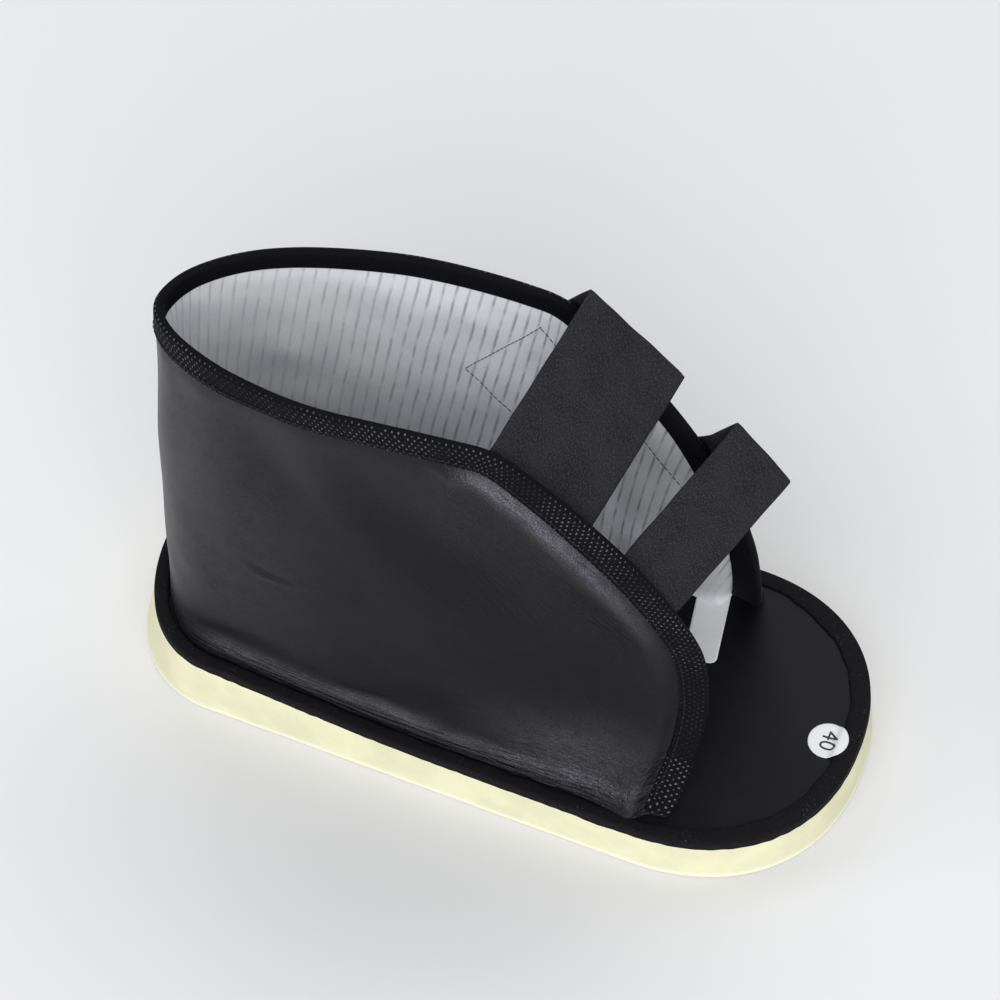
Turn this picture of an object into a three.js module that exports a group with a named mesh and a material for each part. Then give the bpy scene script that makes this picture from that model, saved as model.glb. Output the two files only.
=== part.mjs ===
// A cast shoe: a wedge sole with a black insole and edge tape, a tall soft upper that is
// open at the toe and the top, a lining, a bound rim, and two elastic straps that cross the
// instep and fasten on patches outside the far wall. Millimetres, +Z up, +X to the toe.
// The near wall is at -Y and the far wall at +Y.
import * as THREE from 'three';

// Sole: in plan, two superellipse ends joined by straight sides, thicker at the heel
const SOLE = {
  heelX: -122.5,
  toeX: 127.5,
  heelRun: 35.2,
  toeRun: 59.6,
  heelHalf: 49,
  toeHalf: 56.9,
  power: 2.25,
  foreHeight: 16.75,
  wedgeX: -24.9,
  wedgeSlope: 0.105,
  wedgeRound: 20,
  footprintGrow: 1,
  heelKick: 5,
};
const OUTLINE_STEPS = { end: 12, side: 8 };
const SEAT_GAP = 0.3;
const INSOLE = { inset: 1.3, thick: 2 };
const INSOLE_TOP = SEAT_GAP + INSOLE.thick;
const TAPE = { lip: 5, thick: 1 };

// Upper: the leather and the lining lie on the two sides of one middle wall
const UPPER = {
  footInset: 7.75,
  footGap: 0.5,
  frontDraw: 2.3,
  drawStartX: 15,
  leather: 1.6,
  lining: 1,
  halfGap: 0.2,
  rimHeelRun: 79,
  rimHalf: 33.4,
  rimPower: 1.8,
  rimFrontX: 80,
  rimFrontHalf: 24,
  settleFront: 20,
  settleHeel: 300,
};
// Wall columns from the heel to the front edge: where each starts on the sole and ends at the rim
const COLUMNS = [
  { footX: -114.75, rimX: -114.75, rimZ: 161.1 },
  { footX: -107.5, rimX: -107.5, rimZ: 164.3 },
  { footX: -88, rimX: -88, rimZ: 168.2 },
  { footX: -58, rimX: -58, rimZ: 171.3 },
  { footX: -28, rimX: -26, rimZ: 175.7 },
  { footX: -4, rimX: 0, rimZ: 177.3 },
  { footX: 14, rimX: 14, rimZ: 175.6 },
  { footX: 28, rimX: 28, rimZ: 164.8 },
  { footX: 40, rimX: 43, rimZ: 149.4 },
  { footX: 51, rimX: 58.9, rimZ: 129.3 },
  { footX: 60, rimX: 71.5, rimZ: 106.5 },
  { footX: 67, rimX: 79.3, rimZ: 86 },
  { footX: 72, rimX: 81.8, rimZ: 65 },
  { footX: 75, rimX: 80.9, rimZ: 45 },
  { footX: 76.3, rimX: 77, rimZ: 23 },
];
// Soft dents and rolls of the near wall: place, half lengths, turn from +X, and push outwards
const DENTS = [
  { x: 33, z: 133, long: 36, wide: 14, turn: -38, push: 2.6 },
  { x: 4, z: 116, long: 52, wide: 18, turn: -38, push: -4 },
  { x: 46, z: 44, long: 26, wide: 14, turn: -12, push: 2.2 },
  { x: -12, z: 36, long: 20, wide: 10, turn: 25, push: -2 },
  { x: -82, z: 112, long: 36, wide: 11, turn: 88, push: 2 },
  { x: -60, z: 134, long: 26, wide: 12, turn: -70, push: -2.2 },
];
// Dents fade out towards the foot line and where the wall turns round the heel
const DENT_FADE = { height: 20, half: 20 };
// The first columns end at the open top, and the others at the front edge
const TOP_COLUMNS = 12;
const SIDE_COLUMNS = 36;
const RIM_BANDS = 2;
const RIM_BAND = 6;
const WALL_ROWS = 9;
const LOW_ROW_CROWD = 1.35;
const SLOPE_STEP = 0.5;

// Rim binding: a folded tape over the rim, with a wide lip outside and a narrow one inside
const BINDING = { thick: 1, gap: 0.55, outerLip: 8.5, innerLip: 7, over: 0.3 };
// How far what lies on the wall starts off its middle, outside and inside
const WALL_OUTSIDE = UPPER.halfGap + UPPER.leather + BINDING.gap;
const WALL_INSIDE = UPPER.halfGap + UPPER.lining + BINDING.gap;

// Straps: ridge is the fold over the far wall, reach is the way from the ridge to the near wall,
// and tail is the way that the fastened end takes down the far wall. The shares place the rows
// on the sewn end, from its lower edge up, and on the bridge over the instep.
const STRAP = {
  thick: 1.2,
  gap: 0.4,
  sewnShares: [1, 0.75, 0.5, 0.25, 0.1],
  bridgeShares: [0.06, 0.35, 0.65, 0.94],
  tailRows: 8,
};
const STRAPS = [
  {
    name: 'wide',
    ridge: [new THREE.Vector3(22, 33.4, 185.3), new THREE.Vector3(52.6, 36, 149.8)],
    reach: { x: -10.5, z: -10 },
    sewn: 30,
    tail: { x: -0.6, z: -0.8, settle: 9, length: 70 },
    patchStart: 29.5,
    across: 5,
  },
  {
    name: 'narrow',
    ridge: [new THREE.Vector3(72, 33, 137.5), new THREE.Vector3(90.3, 33, 113.2)],
    reach: { x: -18.8, z: -7.4 },
    sewn: 24,
    tail: { x: -0.76, z: -0.65, settle: 12, length: 56 },
    patchStart: 36,
    across: 4,
  },
];
// Fastening patches sewn on the far wall under the strap ends
const PATCH = { thick: 1, past: 9, rows: 7 };

// Label sewn into the far foot seam and lying on the insole, and the round size sticker at the toe
const LABEL = { x: 63.1, y: 29, width: 11.5, length: 29.5, turn: 9, thick: 0.6, corner: 2.5, arcSteps: 6 };
const STICKER = { x: 115.2, y: -0.8, radius: 6.8, thick: 0.4, sides: 32 };

const FINISH = {
  foam: { color: 0xf0eecd, roughness: 0.8, metalness: 0 },
  insole: { color: 0x222126, roughness: 0.6, metalness: 0 },
  tape: { color: 0x17171a, roughness: 0.9, metalness: 0 },
  leather: { color: 0x2e2d33, roughness: 0.5, metalness: 0 },
  lining: { color: 0xa9adb4, roughness: 0.9, metalness: 0 },
  elastic: { color: 0x3a3a3f, roughness: 0.9, metalness: 0 },
  white: { color: 0xe8e8e8, roughness: 0.6, metalness: 0 },
};

// Mesh building: triangles are collected, and turned as a whole so that faces point outwards
class Skin {
  constructor() {
    this.triangles = [];
  }
  tri(a, b, c) {
    const tiny = 1e-6;
    const flat = a.distanceTo(b) < tiny || b.distanceTo(c) < tiny || c.distanceTo(a) < tiny;
    if (!flat) this.triangles.push([a, b, c]);
  }
  quad(a, b, c, d) {
    this.tri(a, b, c);
    this.tri(a, c, d);
  }
  geometry() {
    const volume = this.triangles.reduce((sum, [a, b, c]) => sum + a.dot(b.clone().cross(c)), 0);
    const order = volume > 0 ? [0, 1, 2] : [0, 2, 1];
    const corners = this.triangles.flatMap((triangle) => order.map((k) => triangle[k]));
    const geometry = new THREE.BufferGeometry().setFromPoints(corners);
    geometry.computeVertexNormals();
    return geometry;
  }
}

// Closed solid between two grids of points of the same size
function gridSolid(outer, inner) {
  const skin = new Skin();
  const rows = outer.length - 1;
  const cols = outer[0].length - 1;
  for (let i = 0; i < rows; i += 1) {
    for (let j = 0; j < cols; j += 1) {
      skin.quad(outer[i][j], outer[i + 1][j], outer[i + 1][j + 1], outer[i][j + 1]);
      skin.quad(inner[i][j], inner[i][j + 1], inner[i + 1][j + 1], inner[i + 1][j]);
    }
  }
  for (let i = 0; i < rows; i += 1) {
    skin.quad(outer[i][0], inner[i][0], inner[i + 1][0], outer[i + 1][0]);
    skin.quad(outer[i + 1][cols], inner[i + 1][cols], inner[i][cols], outer[i][cols]);
  }
  for (let j = 0; j < cols; j += 1) {
    skin.quad(outer[0][j + 1], inner[0][j + 1], inner[0][j], outer[0][j]);
    skin.quad(outer[rows][j], inner[rows][j], inner[rows][j + 1], outer[rows][j + 1]);
  }
  return skin.geometry();
}

// A closed section carried through a list of places; a loop joins its last place to its first
function sweepSolid(sections, profile, loop) {
  const skin = new Skin();
  const count = sections.length;
  const sides = profile.length;
  for (let i = 0; i < (loop ? count : count - 1); i += 1) {
    const here = sections[i];
    const next = sections[(i + 1) % count];
    for (let k = 0; k < sides; k += 1) {
      const turn = (k + 1) % sides;
      skin.quad(here[k], next[k], next[turn], here[turn]);
    }
  }
  if (!loop) {
    const order = THREE.ShapeUtils.isClockWise(profile) ? [0, 2, 1] : [0, 1, 2];
    THREE.ShapeUtils.triangulateShape(profile, []).forEach((face) => {
      const [a, b, c] = order.map((k) => face[k]);
      skin.tri(sections[0][a], sections[0][b], sections[0][c]);
      skin.tri(sections[count - 1][a], sections[count - 1][c], sections[count - 1][b]);
    });
  }
  return skin.geometry();
}

// Sheet of even thickness around a grid of middle points, mitred where the sheet folds
function sheetSolid(grid, thick) {
  const facing = (a, b, c, d) => c.clone().sub(a).cross(d.clone().sub(b)).normalize();
  const face = (i, j) => {
    const row = THREE.MathUtils.clamp(i, 0, grid.length - 2);
    const col = THREE.MathUtils.clamp(j, 0, grid[0].length - 2);
    return facing(grid[row][col], grid[row + 1][col], grid[row + 1][col + 1], grid[row][col + 1]);
  };
  const push = (sign) => grid.map((line, i) => line.map((point, j) => {
    const before = face(i - 1, j - 1).add(face(i - 1, j)).normalize();
    const after = face(i, j - 1).add(face(i, j)).normalize();
    const normal = before.clone().add(after).normalize();
    return point.clone().addScaledVector(normal, (sign * thick) / 2 / normal.dot(after));
  }));
  return gridSolid(push(1), push(-1));
}

// Height of the sole's top: level under the forefoot, rising smoothly to the heel
function soleTop(x) {
  const back = SOLE.wedgeX - x;
  return SOLE.foreHeight + (SOLE.wedgeSlope * (back + Math.hypot(back, SOLE.wedgeRound))) / 2;
}

// Half width of the sole's outline, drawn in by an inset
function outlineHalf(x, inset) {
  const heelC = SOLE.heelX + SOLE.heelRun;
  const toeC = SOLE.toeX - SOLE.toeRun;
  const share = THREE.MathUtils.clamp((x - heelC) / (toeC - heelC), 0, 1);
  const half = THREE.MathUtils.lerp(SOLE.heelHalf, SOLE.toeHalf, share) - inset;
  const behind = (heelC - x) / (SOLE.heelRun - inset);
  const ahead = (x - toeC) / (SOLE.toeRun - inset);
  const past = THREE.MathUtils.clamp(Math.max(behind, ahead), 0, 1);
  return half * (1 - past ** SOLE.power) ** (1 / SOLE.power);
}

// Stations of an outline from heel to toe, each with its x and half width
function outlineStations(inset, heelKick = 0) {
  const { end: endSteps, side: sideSteps } = OUTLINE_STEPS;
  const heelC = SOLE.heelX + SOLE.heelRun;
  const toeC = SOLE.toeX - SOLE.toeRun;
  const stations = [];
  const bend = 2 / SOLE.power;
  for (let k = 0; k < endSteps; k += 1) {
    const angle = (k / endSteps) * (Math.PI / 2);
    const run = SOLE.heelRun - inset + heelKick;
    const half = (SOLE.heelHalf - inset) * Math.sin(angle) ** bend;
    stations.push({ x: heelC - run * Math.cos(angle) ** bend, half });
  }
  for (let k = 0; k <= sideSteps; k += 1) {
    const x = THREE.MathUtils.lerp(heelC, toeC, k / sideSteps);
    stations.push({ x, half: outlineHalf(x, inset) });
  }
  for (let k = endSteps - 1; k >= 0; k -= 1) {
    const angle = (k / endSteps) * (Math.PI / 2);
    const half = (SOLE.toeHalf - inset) * Math.sin(angle) ** bend;
    stations.push({ x: toeC + (SOLE.toeRun - inset) * Math.cos(angle) ** bend, half });
  }
  return stations;
}

// Slab whose top and bottom are ruled straight across between the two sides of an outline
function slabSolid(topStations, topZ, lowStations, lowZ) {
  const line = (station, z) => [
    new THREE.Vector3(station.x, -station.half, z(station.x)),
    new THREE.Vector3(station.x, station.half, z(station.x)),
  ];
  const top = topStations.map((station) => line(station, topZ));
  const low = lowStations.map((station) => line(station, lowZ));
  return gridSolid(top, low);
}

// Closed loop round an outline: down the near side from heel to toe and back along the far side
function outlineLoop(inset, lift) {
  const stations = outlineStations(inset);
  const near = stations.map((s) => new THREE.Vector3(s.x, -s.half, soleTop(s.x) + lift));
  const far = stations.slice(1, -1).reverse();
  return near.concat(far.map((s) => new THREE.Vector3(s.x, s.half, soleTop(s.x) + lift)));
}

// Upper: a place on the wall is a way round it in plan (0 at the heel, minus on the near side)
// and a height. The way turns round the heel like a circle and then follows x.
const HEEL_X = SOLE.heelX + UPPER.footInset;
const HEEL_TURN = SOLE.heelRun - UPPER.footInset;

function xAt(way) {
  const quarter = (HEEL_TURN * Math.PI) / 2;
  const along = Math.abs(way);
  if (along > quarter) return HEEL_X + HEEL_TURN + along - quarter;
  return HEEL_X + HEEL_TURN * (1 - Math.cos(along / HEEL_TURN));
}

function wayAt(x) {
  const past = (x - HEEL_X) / HEEL_TURN;
  if (past > 1) return HEEL_TURN * (Math.PI / 2 + past - 1);
  return HEEL_TURN * Math.acos(1 - Math.max(past, 0));
}

function footZ(x) {
  return soleTop(x) + INSOLE_TOP + UPPER.footGap;
}

// Half width of the wall's foot line, drawn in a little more towards the front
function footHalf(x) {
  const draw = THREE.MathUtils.smoothstep(x, UPPER.drawStartX, UPPER.rimFrontX);
  return outlineHalf(x, UPPER.footInset) - UPPER.frontDraw * draw;
}

// Half width of the rim in plan: a superellipse heel, then a slow curve in towards the front
function rimHalf(x) {
  const widest = HEEL_X + UPPER.rimHeelRun;
  if (x < widest) {
    const behind = Math.min((widest - x) / UPPER.rimHeelRun, 1);
    return UPPER.rimHalf * (1 - behind ** UPPER.rimPower) ** (1 / UPPER.rimPower);
  }
  const ahead = (x - widest) / (UPPER.rimFrontX - widest);
  return UPPER.rimHalf - (UPPER.rimHalf - UPPER.rimFrontHalf) * ahead ** 2;
}

// Smooth curve through equally spaced table rows
function smooth(values, at) {
  const i = THREE.MathUtils.clamp(Math.floor(at), 0, values.length - 2);
  const f = at - i;
  const pick = (k) => values[THREE.MathUtils.clamp(k, 0, values.length - 1)];
  const [a, b, c, d] = [pick(i - 1), pick(i), pick(i + 1), pick(i + 2)];
  const bend = (2 * a - 5 * b + 4 * c - d) * f * f + (3 * b - a - 3 * c + d) * f * f * f;
  return b + ((c - a) * f + bend) / 2;
}

// Rim height above each x of the open top, from the rows that run forwards
const TOP_ROWS = COLUMNS.slice(0, TOP_COLUMNS);

function rimTop(x) {
  const next = TOP_ROWS.findIndex((row) => row.rimX > x);
  if (next === 0) return TOP_ROWS[0].rimZ;
  if (next < 0) return TOP_ROWS[TOP_ROWS.length - 1].rimZ;
  const [low, high] = [TOP_ROWS[next - 1], TOP_ROWS[next]];
  return THREE.MathUtils.mapLinear(x, low.rimX, high.rimX, low.rimZ, high.rimZ);
}

function dentPush(x, z) {
  return DENTS.reduce((sum, dent) => {
    const turn = THREE.MathUtils.degToRad(dent.turn);
    const along = (x - dent.x) * Math.cos(turn) + (z - dent.z) * Math.sin(turn);
    const across = (z - dent.z) * Math.cos(turn) - (x - dent.x) * Math.sin(turn);
    return sum + dent.push * Math.exp(-((along / dent.long) ** 2) - (across / dent.wide) ** 2);
  }, 0);
}

// Half width of the middle wall: it settles from the foot line to the rim line with height,
// quickly at the front and evenly at the heel
function wallHalf(x, z, near) {
  const ahead = (UPPER.rimFrontX - x) / (UPPER.rimFrontX - HEEL_X);
  const settle = UPPER.settleFront * (UPPER.settleHeel / UPPER.settleFront) ** ahead;
  const rise = 1 - Math.exp(-(z - footZ(x)) / settle);
  const full = 1 - Math.exp(-(rimTop(x) - footZ(x)) / settle);
  const foot = footHalf(x);
  const half = foot + ((rimHalf(x) - foot) * rise) / full;
  const lift = THREE.MathUtils.smoothstep(z - footZ(x), 0, DENT_FADE.height);
  const fade = lift * Math.min(half / DENT_FADE.half, 1);
  return near ? half + dentPush(x, z) * fade : half;
}

function middlePoint(way, z) {
  const x = xAt(way);
  return new THREE.Vector3(x, Math.sign(way) * wallHalf(x, z, way < 0), z);
}

// Directions of the wall at a place: along the way and up
function wallSlopes(way, z) {
  const step = SLOPE_STEP;
  const along = middlePoint(way + step, z).sub(middlePoint(way - step, z)).divideScalar(2 * step);
  const up = middlePoint(way, z + step).sub(middlePoint(way, z - step)).divideScalar(2 * step);
  return { along, up };
}

// Point off the middle wall, outwards for a plus offset. The step is level, so edges stay level.
function wallPoint(way, z, offset) {
  const { along, up } = wallSlopes(way, z);
  const normal = up.cross(along).normalize();
  const level = Math.hypot(normal.x, normal.y);
  const step = new THREE.Vector3(normal.x, normal.y, 0).multiplyScalar(offset / level ** 2);
  return middlePoint(way, z).add(step);
}

// Places of the wall's columns, from the near front edge round the heel to the far front edge
const FOOT_WAYS = COLUMNS.map((row) => wayAt(row.footX));
const RIM_WAYS = COLUMNS.map((row) => wayAt(row.rimX));
const RIM_HEIGHTS = COLUMNS.map((row) => row.rimZ);

// Smooth curve through a table that is repeated on the near side, with its sign turned or kept
function mirrored(values, at, sign) {
  const both = values.slice(1).reverse().map((v) => sign * v).concat(values);
  return smooth(both, at + values.length - 1);
}

// One column of the wall: its way at the foot and at the rim, and the rim's height
function column(share) {
  const at = share * (COLUMNS.length - 1);
  return {
    foot: mirrored(FOOT_WAYS, at, -1),
    rim: mirrored(RIM_WAYS, at, -1),
    top: mirrored(RIM_HEIGHTS, at, 1),
  };
}
const SHARES = Array.from({ length: 2 * SIDE_COLUMNS + 1 }, (_, k) => k / SIDE_COLUMNS - 1);

// Height shares of a column's rows: closer together at the foot and just under the rim
function rowShares(height) {
  const band = Math.min(RIM_BAND / height, 1 / WALL_ROWS);
  const lowRows = WALL_ROWS - RIM_BANDS;
  const low = Array.from({ length: lowRows }, (_, k) => {
    return (k / lowRows) ** LOW_ROW_CROWD * (1 - RIM_BANDS * band);
  });
  const high = Array.from({ length: RIM_BANDS + 1 }, (_, k) => 1 - (RIM_BANDS - k) * band);
  return low.concat(high);
}

// Grid of points at an offset from the middle wall, column by column
function wallGrid(offset) {
  return SHARES.map((share) => {
    const { foot, rim, top } = column(share);
    const low = footZ(xAt(foot));
    return rowShares(top - low).map((t) => {
      const z = THREE.MathUtils.lerp(low, top, t);
      return wallPoint(THREE.MathUtils.lerp(foot, rim, t), z, offset);
    });
  });
}

// Rim path, carried down to just above the edge tape at both front ends
function rimPlace(share) {
  const { rim, top } = column(share);
  return { way: rim, z: top };
}

function rimPath() {
  const end = (side) => {
    const x = COLUMNS[COLUMNS.length - 1].footX;
    return { way: side * wayAt(x), z: footZ(x) + TAPE.thick + SEAT_GAP };
  };
  return [end(-1), ...SHARES.map(rimPlace), end(1)];
}

// Binding section in the wall: steps in from the rim (plus is inwards) and off the middle wall
function bindingProfile() {
  const outside = WALL_OUTSIDE;
  const inside = -WALL_INSIDE;
  const { thick, over, outerLip, innerLip } = BINDING;
  return [
    [outerLip, outside],
    [outerLip, outside + thick],
    [outerLip / 2, outside + thick],
    [0, outside + thick],
    [-over - thick, outside],
    [-over - thick, inside],
    [0, inside - thick],
    [innerLip, inside - thick],
    [innerLip, inside],
    [-over, inside],
    [-over, outside],
    [outerLip / 2, outside],
  ].map(([step, off]) => new THREE.Vector2(step, off));
}

// Places of the binding's section along the rim
function bindingSections(profile) {
  const path = rimPath();
  return path.map((place, i) => {
    const last = path.length - 1;
    const before = path[Math.max(i - 1, 0)];
    const after = path[Math.min(i + 1, last)];
    const { along, up } = wallSlopes(place.way, place.z);
    const ending = i === 0 || i === last;
    const go = ending
      ? up.clone().multiplyScalar(i === 0 ? 1 : -1)
      : middlePoint(after.way, after.z).sub(middlePoint(before.way, before.z));
    const inward = up.clone().cross(along).normalize().cross(go.normalize());
    // Solve for the change of way and height that moves one millimetre inwards
    const aa = along.dot(along);
    const uu = up.dot(up);
    const au = along.dot(up);
    const ia = inward.dot(along);
    const iu = inward.dot(up);
    const det = aa * uu - au * au;
    const dWay = (ia * uu - iu * au) / det;
    const dZ = ending ? 0 : (iu * aa - ia * au) / det;
    return profile.map((p) => wallPoint(place.way + p.x * dWay, place.z + p.x * dZ, p.y));
  });
}

// Evenly spaced values from one end to the other
function evenSteps(start, end, count) {
  return Array.from({ length: count }, (_, k) => THREE.MathUtils.lerp(start, end, k / (count - 1)));
}

// Points along a strap's ridge, across the band
function ridgePoints(strap) {
  const [rear, front] = strap.ridge;
  return evenSteps(0, 1, strap.across + 1).map((share) => rear.clone().lerp(front, share));
}

// Straps: rows of points across the band, from the sewn end inside the near wall, over the
// instep to the ridge, and down outside the far wall to the fastened end
function strapRows(strap) {
  const clear = BINDING.thick + STRAP.gap + STRAP.thick / 2;
  const inside = -(WALL_INSIDE + clear);
  const outside = WALL_OUTSIDE + clear;
  const [rear, front] = strap.ridge;
  const ridge = ridgePoints(strap);
  const down = new THREE.Vector2(front.z - rear.z, rear.x - front.x).normalize();
  const nearRow = (drop) => ridge.map((p) => {
    const x = p.x + strap.reach.x + down.x * drop;
    return wallPoint(-wayAt(x), p.z + strap.reach.z + down.y * drop, inside);
  });
  const farRow = (drop) => ridge.map((p) => {
    const x = p.x + strap.tail.x * drop;
    return wallPoint(wayAt(x), p.z + strap.tail.z * drop, outside);
  });
  const mix = (rowA, rowB, t) => rowA.map((p, k) => p.clone().lerp(rowB[k], t));
  const sewn = STRAP.sewnShares.map((t) => nearRow(strap.sewn * t));
  const edge = nearRow(0);
  const bridge = STRAP.bridgeShares.map((t) => mix(edge, ridge, t));
  const { settle, length } = strap.tail;
  const laid = evenSteps(settle, length, STRAP.tailRows).map(farRow);
  return [...sewn, ...bridge, ridge, mix(ridge, laid[0], 0.5), ...laid];
}

// Patch on the far wall along the strap's fastened end
function patchRows(strap) {
  const outside = WALL_OUTSIDE + PATCH.thick / 2;
  const drops = evenSteps(strap.patchStart, strap.tail.length + PATCH.past, PATCH.rows);
  return drops.map((drop) => ridgePoints(strap).map((p) => {
    return wallPoint(wayAt(p.x + strap.tail.x * drop), p.z + strap.tail.z * drop, outside);
  }));
}

// Sole: its underside stands out past the top, most of all behind the heel
function soleGeometry() {
  const low = outlineStations(-SOLE.footprintGrow, SOLE.heelKick);
  return slabSolid(outlineStations(0), soleTop, low, () => 0);
}

// Insole: an even board that follows the sole's top
function insoleGeometry() {
  const stations = outlineStations(INSOLE.inset);
  const low = (x) => soleTop(x) + SEAT_GAP;
  return slabSolid(stations, (x) => low(x) + INSOLE.thick, stations, low);
}

// Edge tape: a side that covers the insole's edge and a lip that lies on its top
function tapeGeometry() {
  const lipLow = INSOLE_TOP + SEAT_GAP;
  const top = lipLow + TAPE.thick;
  const profile = [
    [0, SEAT_GAP],
    [0, top],
    [TAPE.lip, top],
    [TAPE.lip, lipLow],
    [TAPE.thick, lipLow],
    [TAPE.thick, SEAT_GAP],
  ].map(([inset, lift]) => new THREE.Vector2(inset, lift));
  const loops = profile.map((p) => outlineLoop(p.x, p.y));
  const sections = loops[0].map((_, i) => loops.map((loop) => loop[i]));
  return sweepSolid(sections, profile, true);
}

function bindingGeometry() {
  const profile = bindingProfile();
  return sweepSolid(bindingSections(profile), profile, false);
}

// Label: a strip with two rounded corners at its free end
function labelGeometry() {
  const { width, length, corner, thick, arcSteps } = LABEL;
  const [w, l] = [width / 2, length / 2];
  const shape = new THREE.Shape();
  shape.moveTo(-w, l);
  shape.lineTo(-w, corner - l);
  shape.absarc(corner - w, corner - l, corner, Math.PI, 1.5 * Math.PI);
  shape.lineTo(w - corner, -l);
  shape.absarc(w - corner, corner - l, corner, -Math.PI / 2, 0);
  shape.lineTo(w, l);
  const options = { depth: thick, bevelEnabled: false, curveSegments: arcSteps };
  return new THREE.ExtrudeGeometry(shape, options);
}

// Scene graph
const shoe = new THREE.Group();

function addPiece(name, geometry, finish) {
  const mesh = new THREE.Mesh(geometry, new THREE.MeshStandardMaterial(finish));
  mesh.name = name;
  shoe.add(mesh);
  return mesh;
}

addPiece('sole', soleGeometry(), FINISH.foam);
addPiece('insole', insoleGeometry(), FINISH.insole);
addPiece('sole_tape', tapeGeometry(), FINISH.tape);

const { halfGap, leather, lining } = UPPER;
addPiece('upper_shell', gridSolid(wallGrid(halfGap + leather), wallGrid(halfGap)), FINISH.leather);
addPiece('lining', gridSolid(wallGrid(-halfGap), wallGrid(-halfGap - lining)), FINISH.lining);
addPiece('top_binding', bindingGeometry(), FINISH.tape);

STRAPS.forEach((strap) => {
  addPiece(`strap_${strap.name}`, sheetSolid(strapRows(strap), STRAP.thick), FINISH.elastic);
  addPiece(`patch_${strap.name}`, sheetSolid(patchRows(strap), PATCH.thick), FINISH.tape);
});

const label = addPiece('label', labelGeometry(), FINISH.white);
label.position.set(LABEL.x, LABEL.y, soleTop(LABEL.x) + INSOLE_TOP + SEAT_GAP);
label.rotation.z = THREE.MathUtils.degToRad(LABEL.turn);

const disc = new THREE.CylinderGeometry(STICKER.radius, STICKER.radius, STICKER.thick, STICKER.sides);
const sticker = addPiece('size_sticker', disc, FINISH.white);
sticker.rotation.x = Math.PI / 2;
const stickerLow = soleTop(STICKER.x) + INSOLE_TOP + SEAT_GAP;
sticker.position.set(STICKER.x, STICKER.y, stickerLow + STICKER.thick / 2);

export default shoe;
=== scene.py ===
"""Looks of a cast shoe: foam sole, leatherette upper, striped lining, bindings and elastic straps.

Shapes are numpy surfaces in metres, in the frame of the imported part: +X to the toe, +Z up,
the near wall at -Y and the far wall, where the straps fasten, at +Y.
"""

import math

import bmesh
import bpy
import numpy as np
from bpy.props import FloatProperty, FloatVectorProperty, PointerProperty, StringProperty
from mathutils import Matrix, Vector


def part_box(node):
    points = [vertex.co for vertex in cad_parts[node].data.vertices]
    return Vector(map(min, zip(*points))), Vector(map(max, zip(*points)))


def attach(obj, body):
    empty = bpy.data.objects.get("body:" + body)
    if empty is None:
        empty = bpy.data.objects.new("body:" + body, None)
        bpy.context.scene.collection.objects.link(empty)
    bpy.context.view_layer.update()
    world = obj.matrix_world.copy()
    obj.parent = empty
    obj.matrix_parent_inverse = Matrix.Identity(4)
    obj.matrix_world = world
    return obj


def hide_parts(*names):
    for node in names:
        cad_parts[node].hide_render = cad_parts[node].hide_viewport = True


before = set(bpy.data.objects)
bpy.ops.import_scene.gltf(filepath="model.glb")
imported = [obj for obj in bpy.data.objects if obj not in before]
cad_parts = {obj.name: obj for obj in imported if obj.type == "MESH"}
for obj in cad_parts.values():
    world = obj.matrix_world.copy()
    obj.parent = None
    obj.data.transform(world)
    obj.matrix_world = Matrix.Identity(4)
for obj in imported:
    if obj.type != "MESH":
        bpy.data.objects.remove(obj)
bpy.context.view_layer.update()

bl_info = {
    "name": "Cast shoe looks",
    "version": (1, 0, 0),
    "blender": (4, 5, 0),
    "location": "3D View > Sidebar > Cast shoe",
    "description": "Builds the visible pieces of a cast shoe around its packed part",
    "category": "Object",
}

MM = 0.001
TAPE_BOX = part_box("sole_tape")
# Points nearer to each other than this are joined
SAME_POINT = 1e-3 * MM

# Sole: in plan, two superellipse ends joined by straight sides, thicker at the heel
SOLE = {
    "heel_x": TAPE_BOX[0].x,
    "toe_x": TAPE_BOX[1].x,
    "heel_run": 35.2 * MM,
    "toe_run": 59.6 * MM,
    "heel_half": 49 * MM,
    "toe_half": TAPE_BOX[1].y,
    "power": 2.25,
    "fore_height": 16.75 * MM,
    "wedge_x": -24.9 * MM,
    "wedge_slope": 0.105,
    "wedge_round": 20 * MM,
    "footprint_grow": 1 * MM,
    "heel_kick": 5 * MM,
    "edge": 0.7 * MM,
}
HEEL_CENTRE = SOLE["heel_x"] + SOLE["heel_run"]
TOE_CENTRE = SOLE["toe_x"] - SOLE["toe_run"]
END_STEPS = 60
SIDE_STEPS = 60
SLAB_ROWS = 14
SOLE_ACROSS = 12
INSOLE_ACROSS = 60
SEAT_GAP = 0.3 * MM
# Insole: inset from the sole's edge, thickness, rounding of its edge, grain as a share of the upper's
INSOLE = {"inset": 1.3 * MM, "thick": 2 * MM, "edge": 0.5 * MM, "grain": 0.7}
INSOLE_TOP = SEAT_GAP + INSOLE["thick"]
# Edge tape: its lip on the insole is wider round the toe, and its inner part is free to stray
TAPE = {
    "lip": 5 * MM, "thick": 1 * MM, "rounded": 0.9 * MM, "free_from": 0.3,
    "toe_lip": 6.8 * MM, "toe_from": 70 * MM, "toe_full": 105 * MM,
}
# Section of the tape, above and below its lip: share of the lip, height off the plain face (mm)
TAPE_ABOVE = [(0.45, 0.1), (0.75, 0), (0.93, -0.25)]
TAPE_BELOW = [(1, 0.1), (0.9, 0), (0.3, 0), (0.2, -0.3)]
TAPE_TURN_STEPS = 6
# Ragged hem of the tape over the foam: row of the section, stand-off, drop, one lower place on the near side
HEM_ROW = 1
HEM = {"off": 0.15 * MM, "drop": 0.1 * MM, "low_x": 54 * MM, "low_half": 5 * MM, "low": 1.0 * MM}

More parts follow.
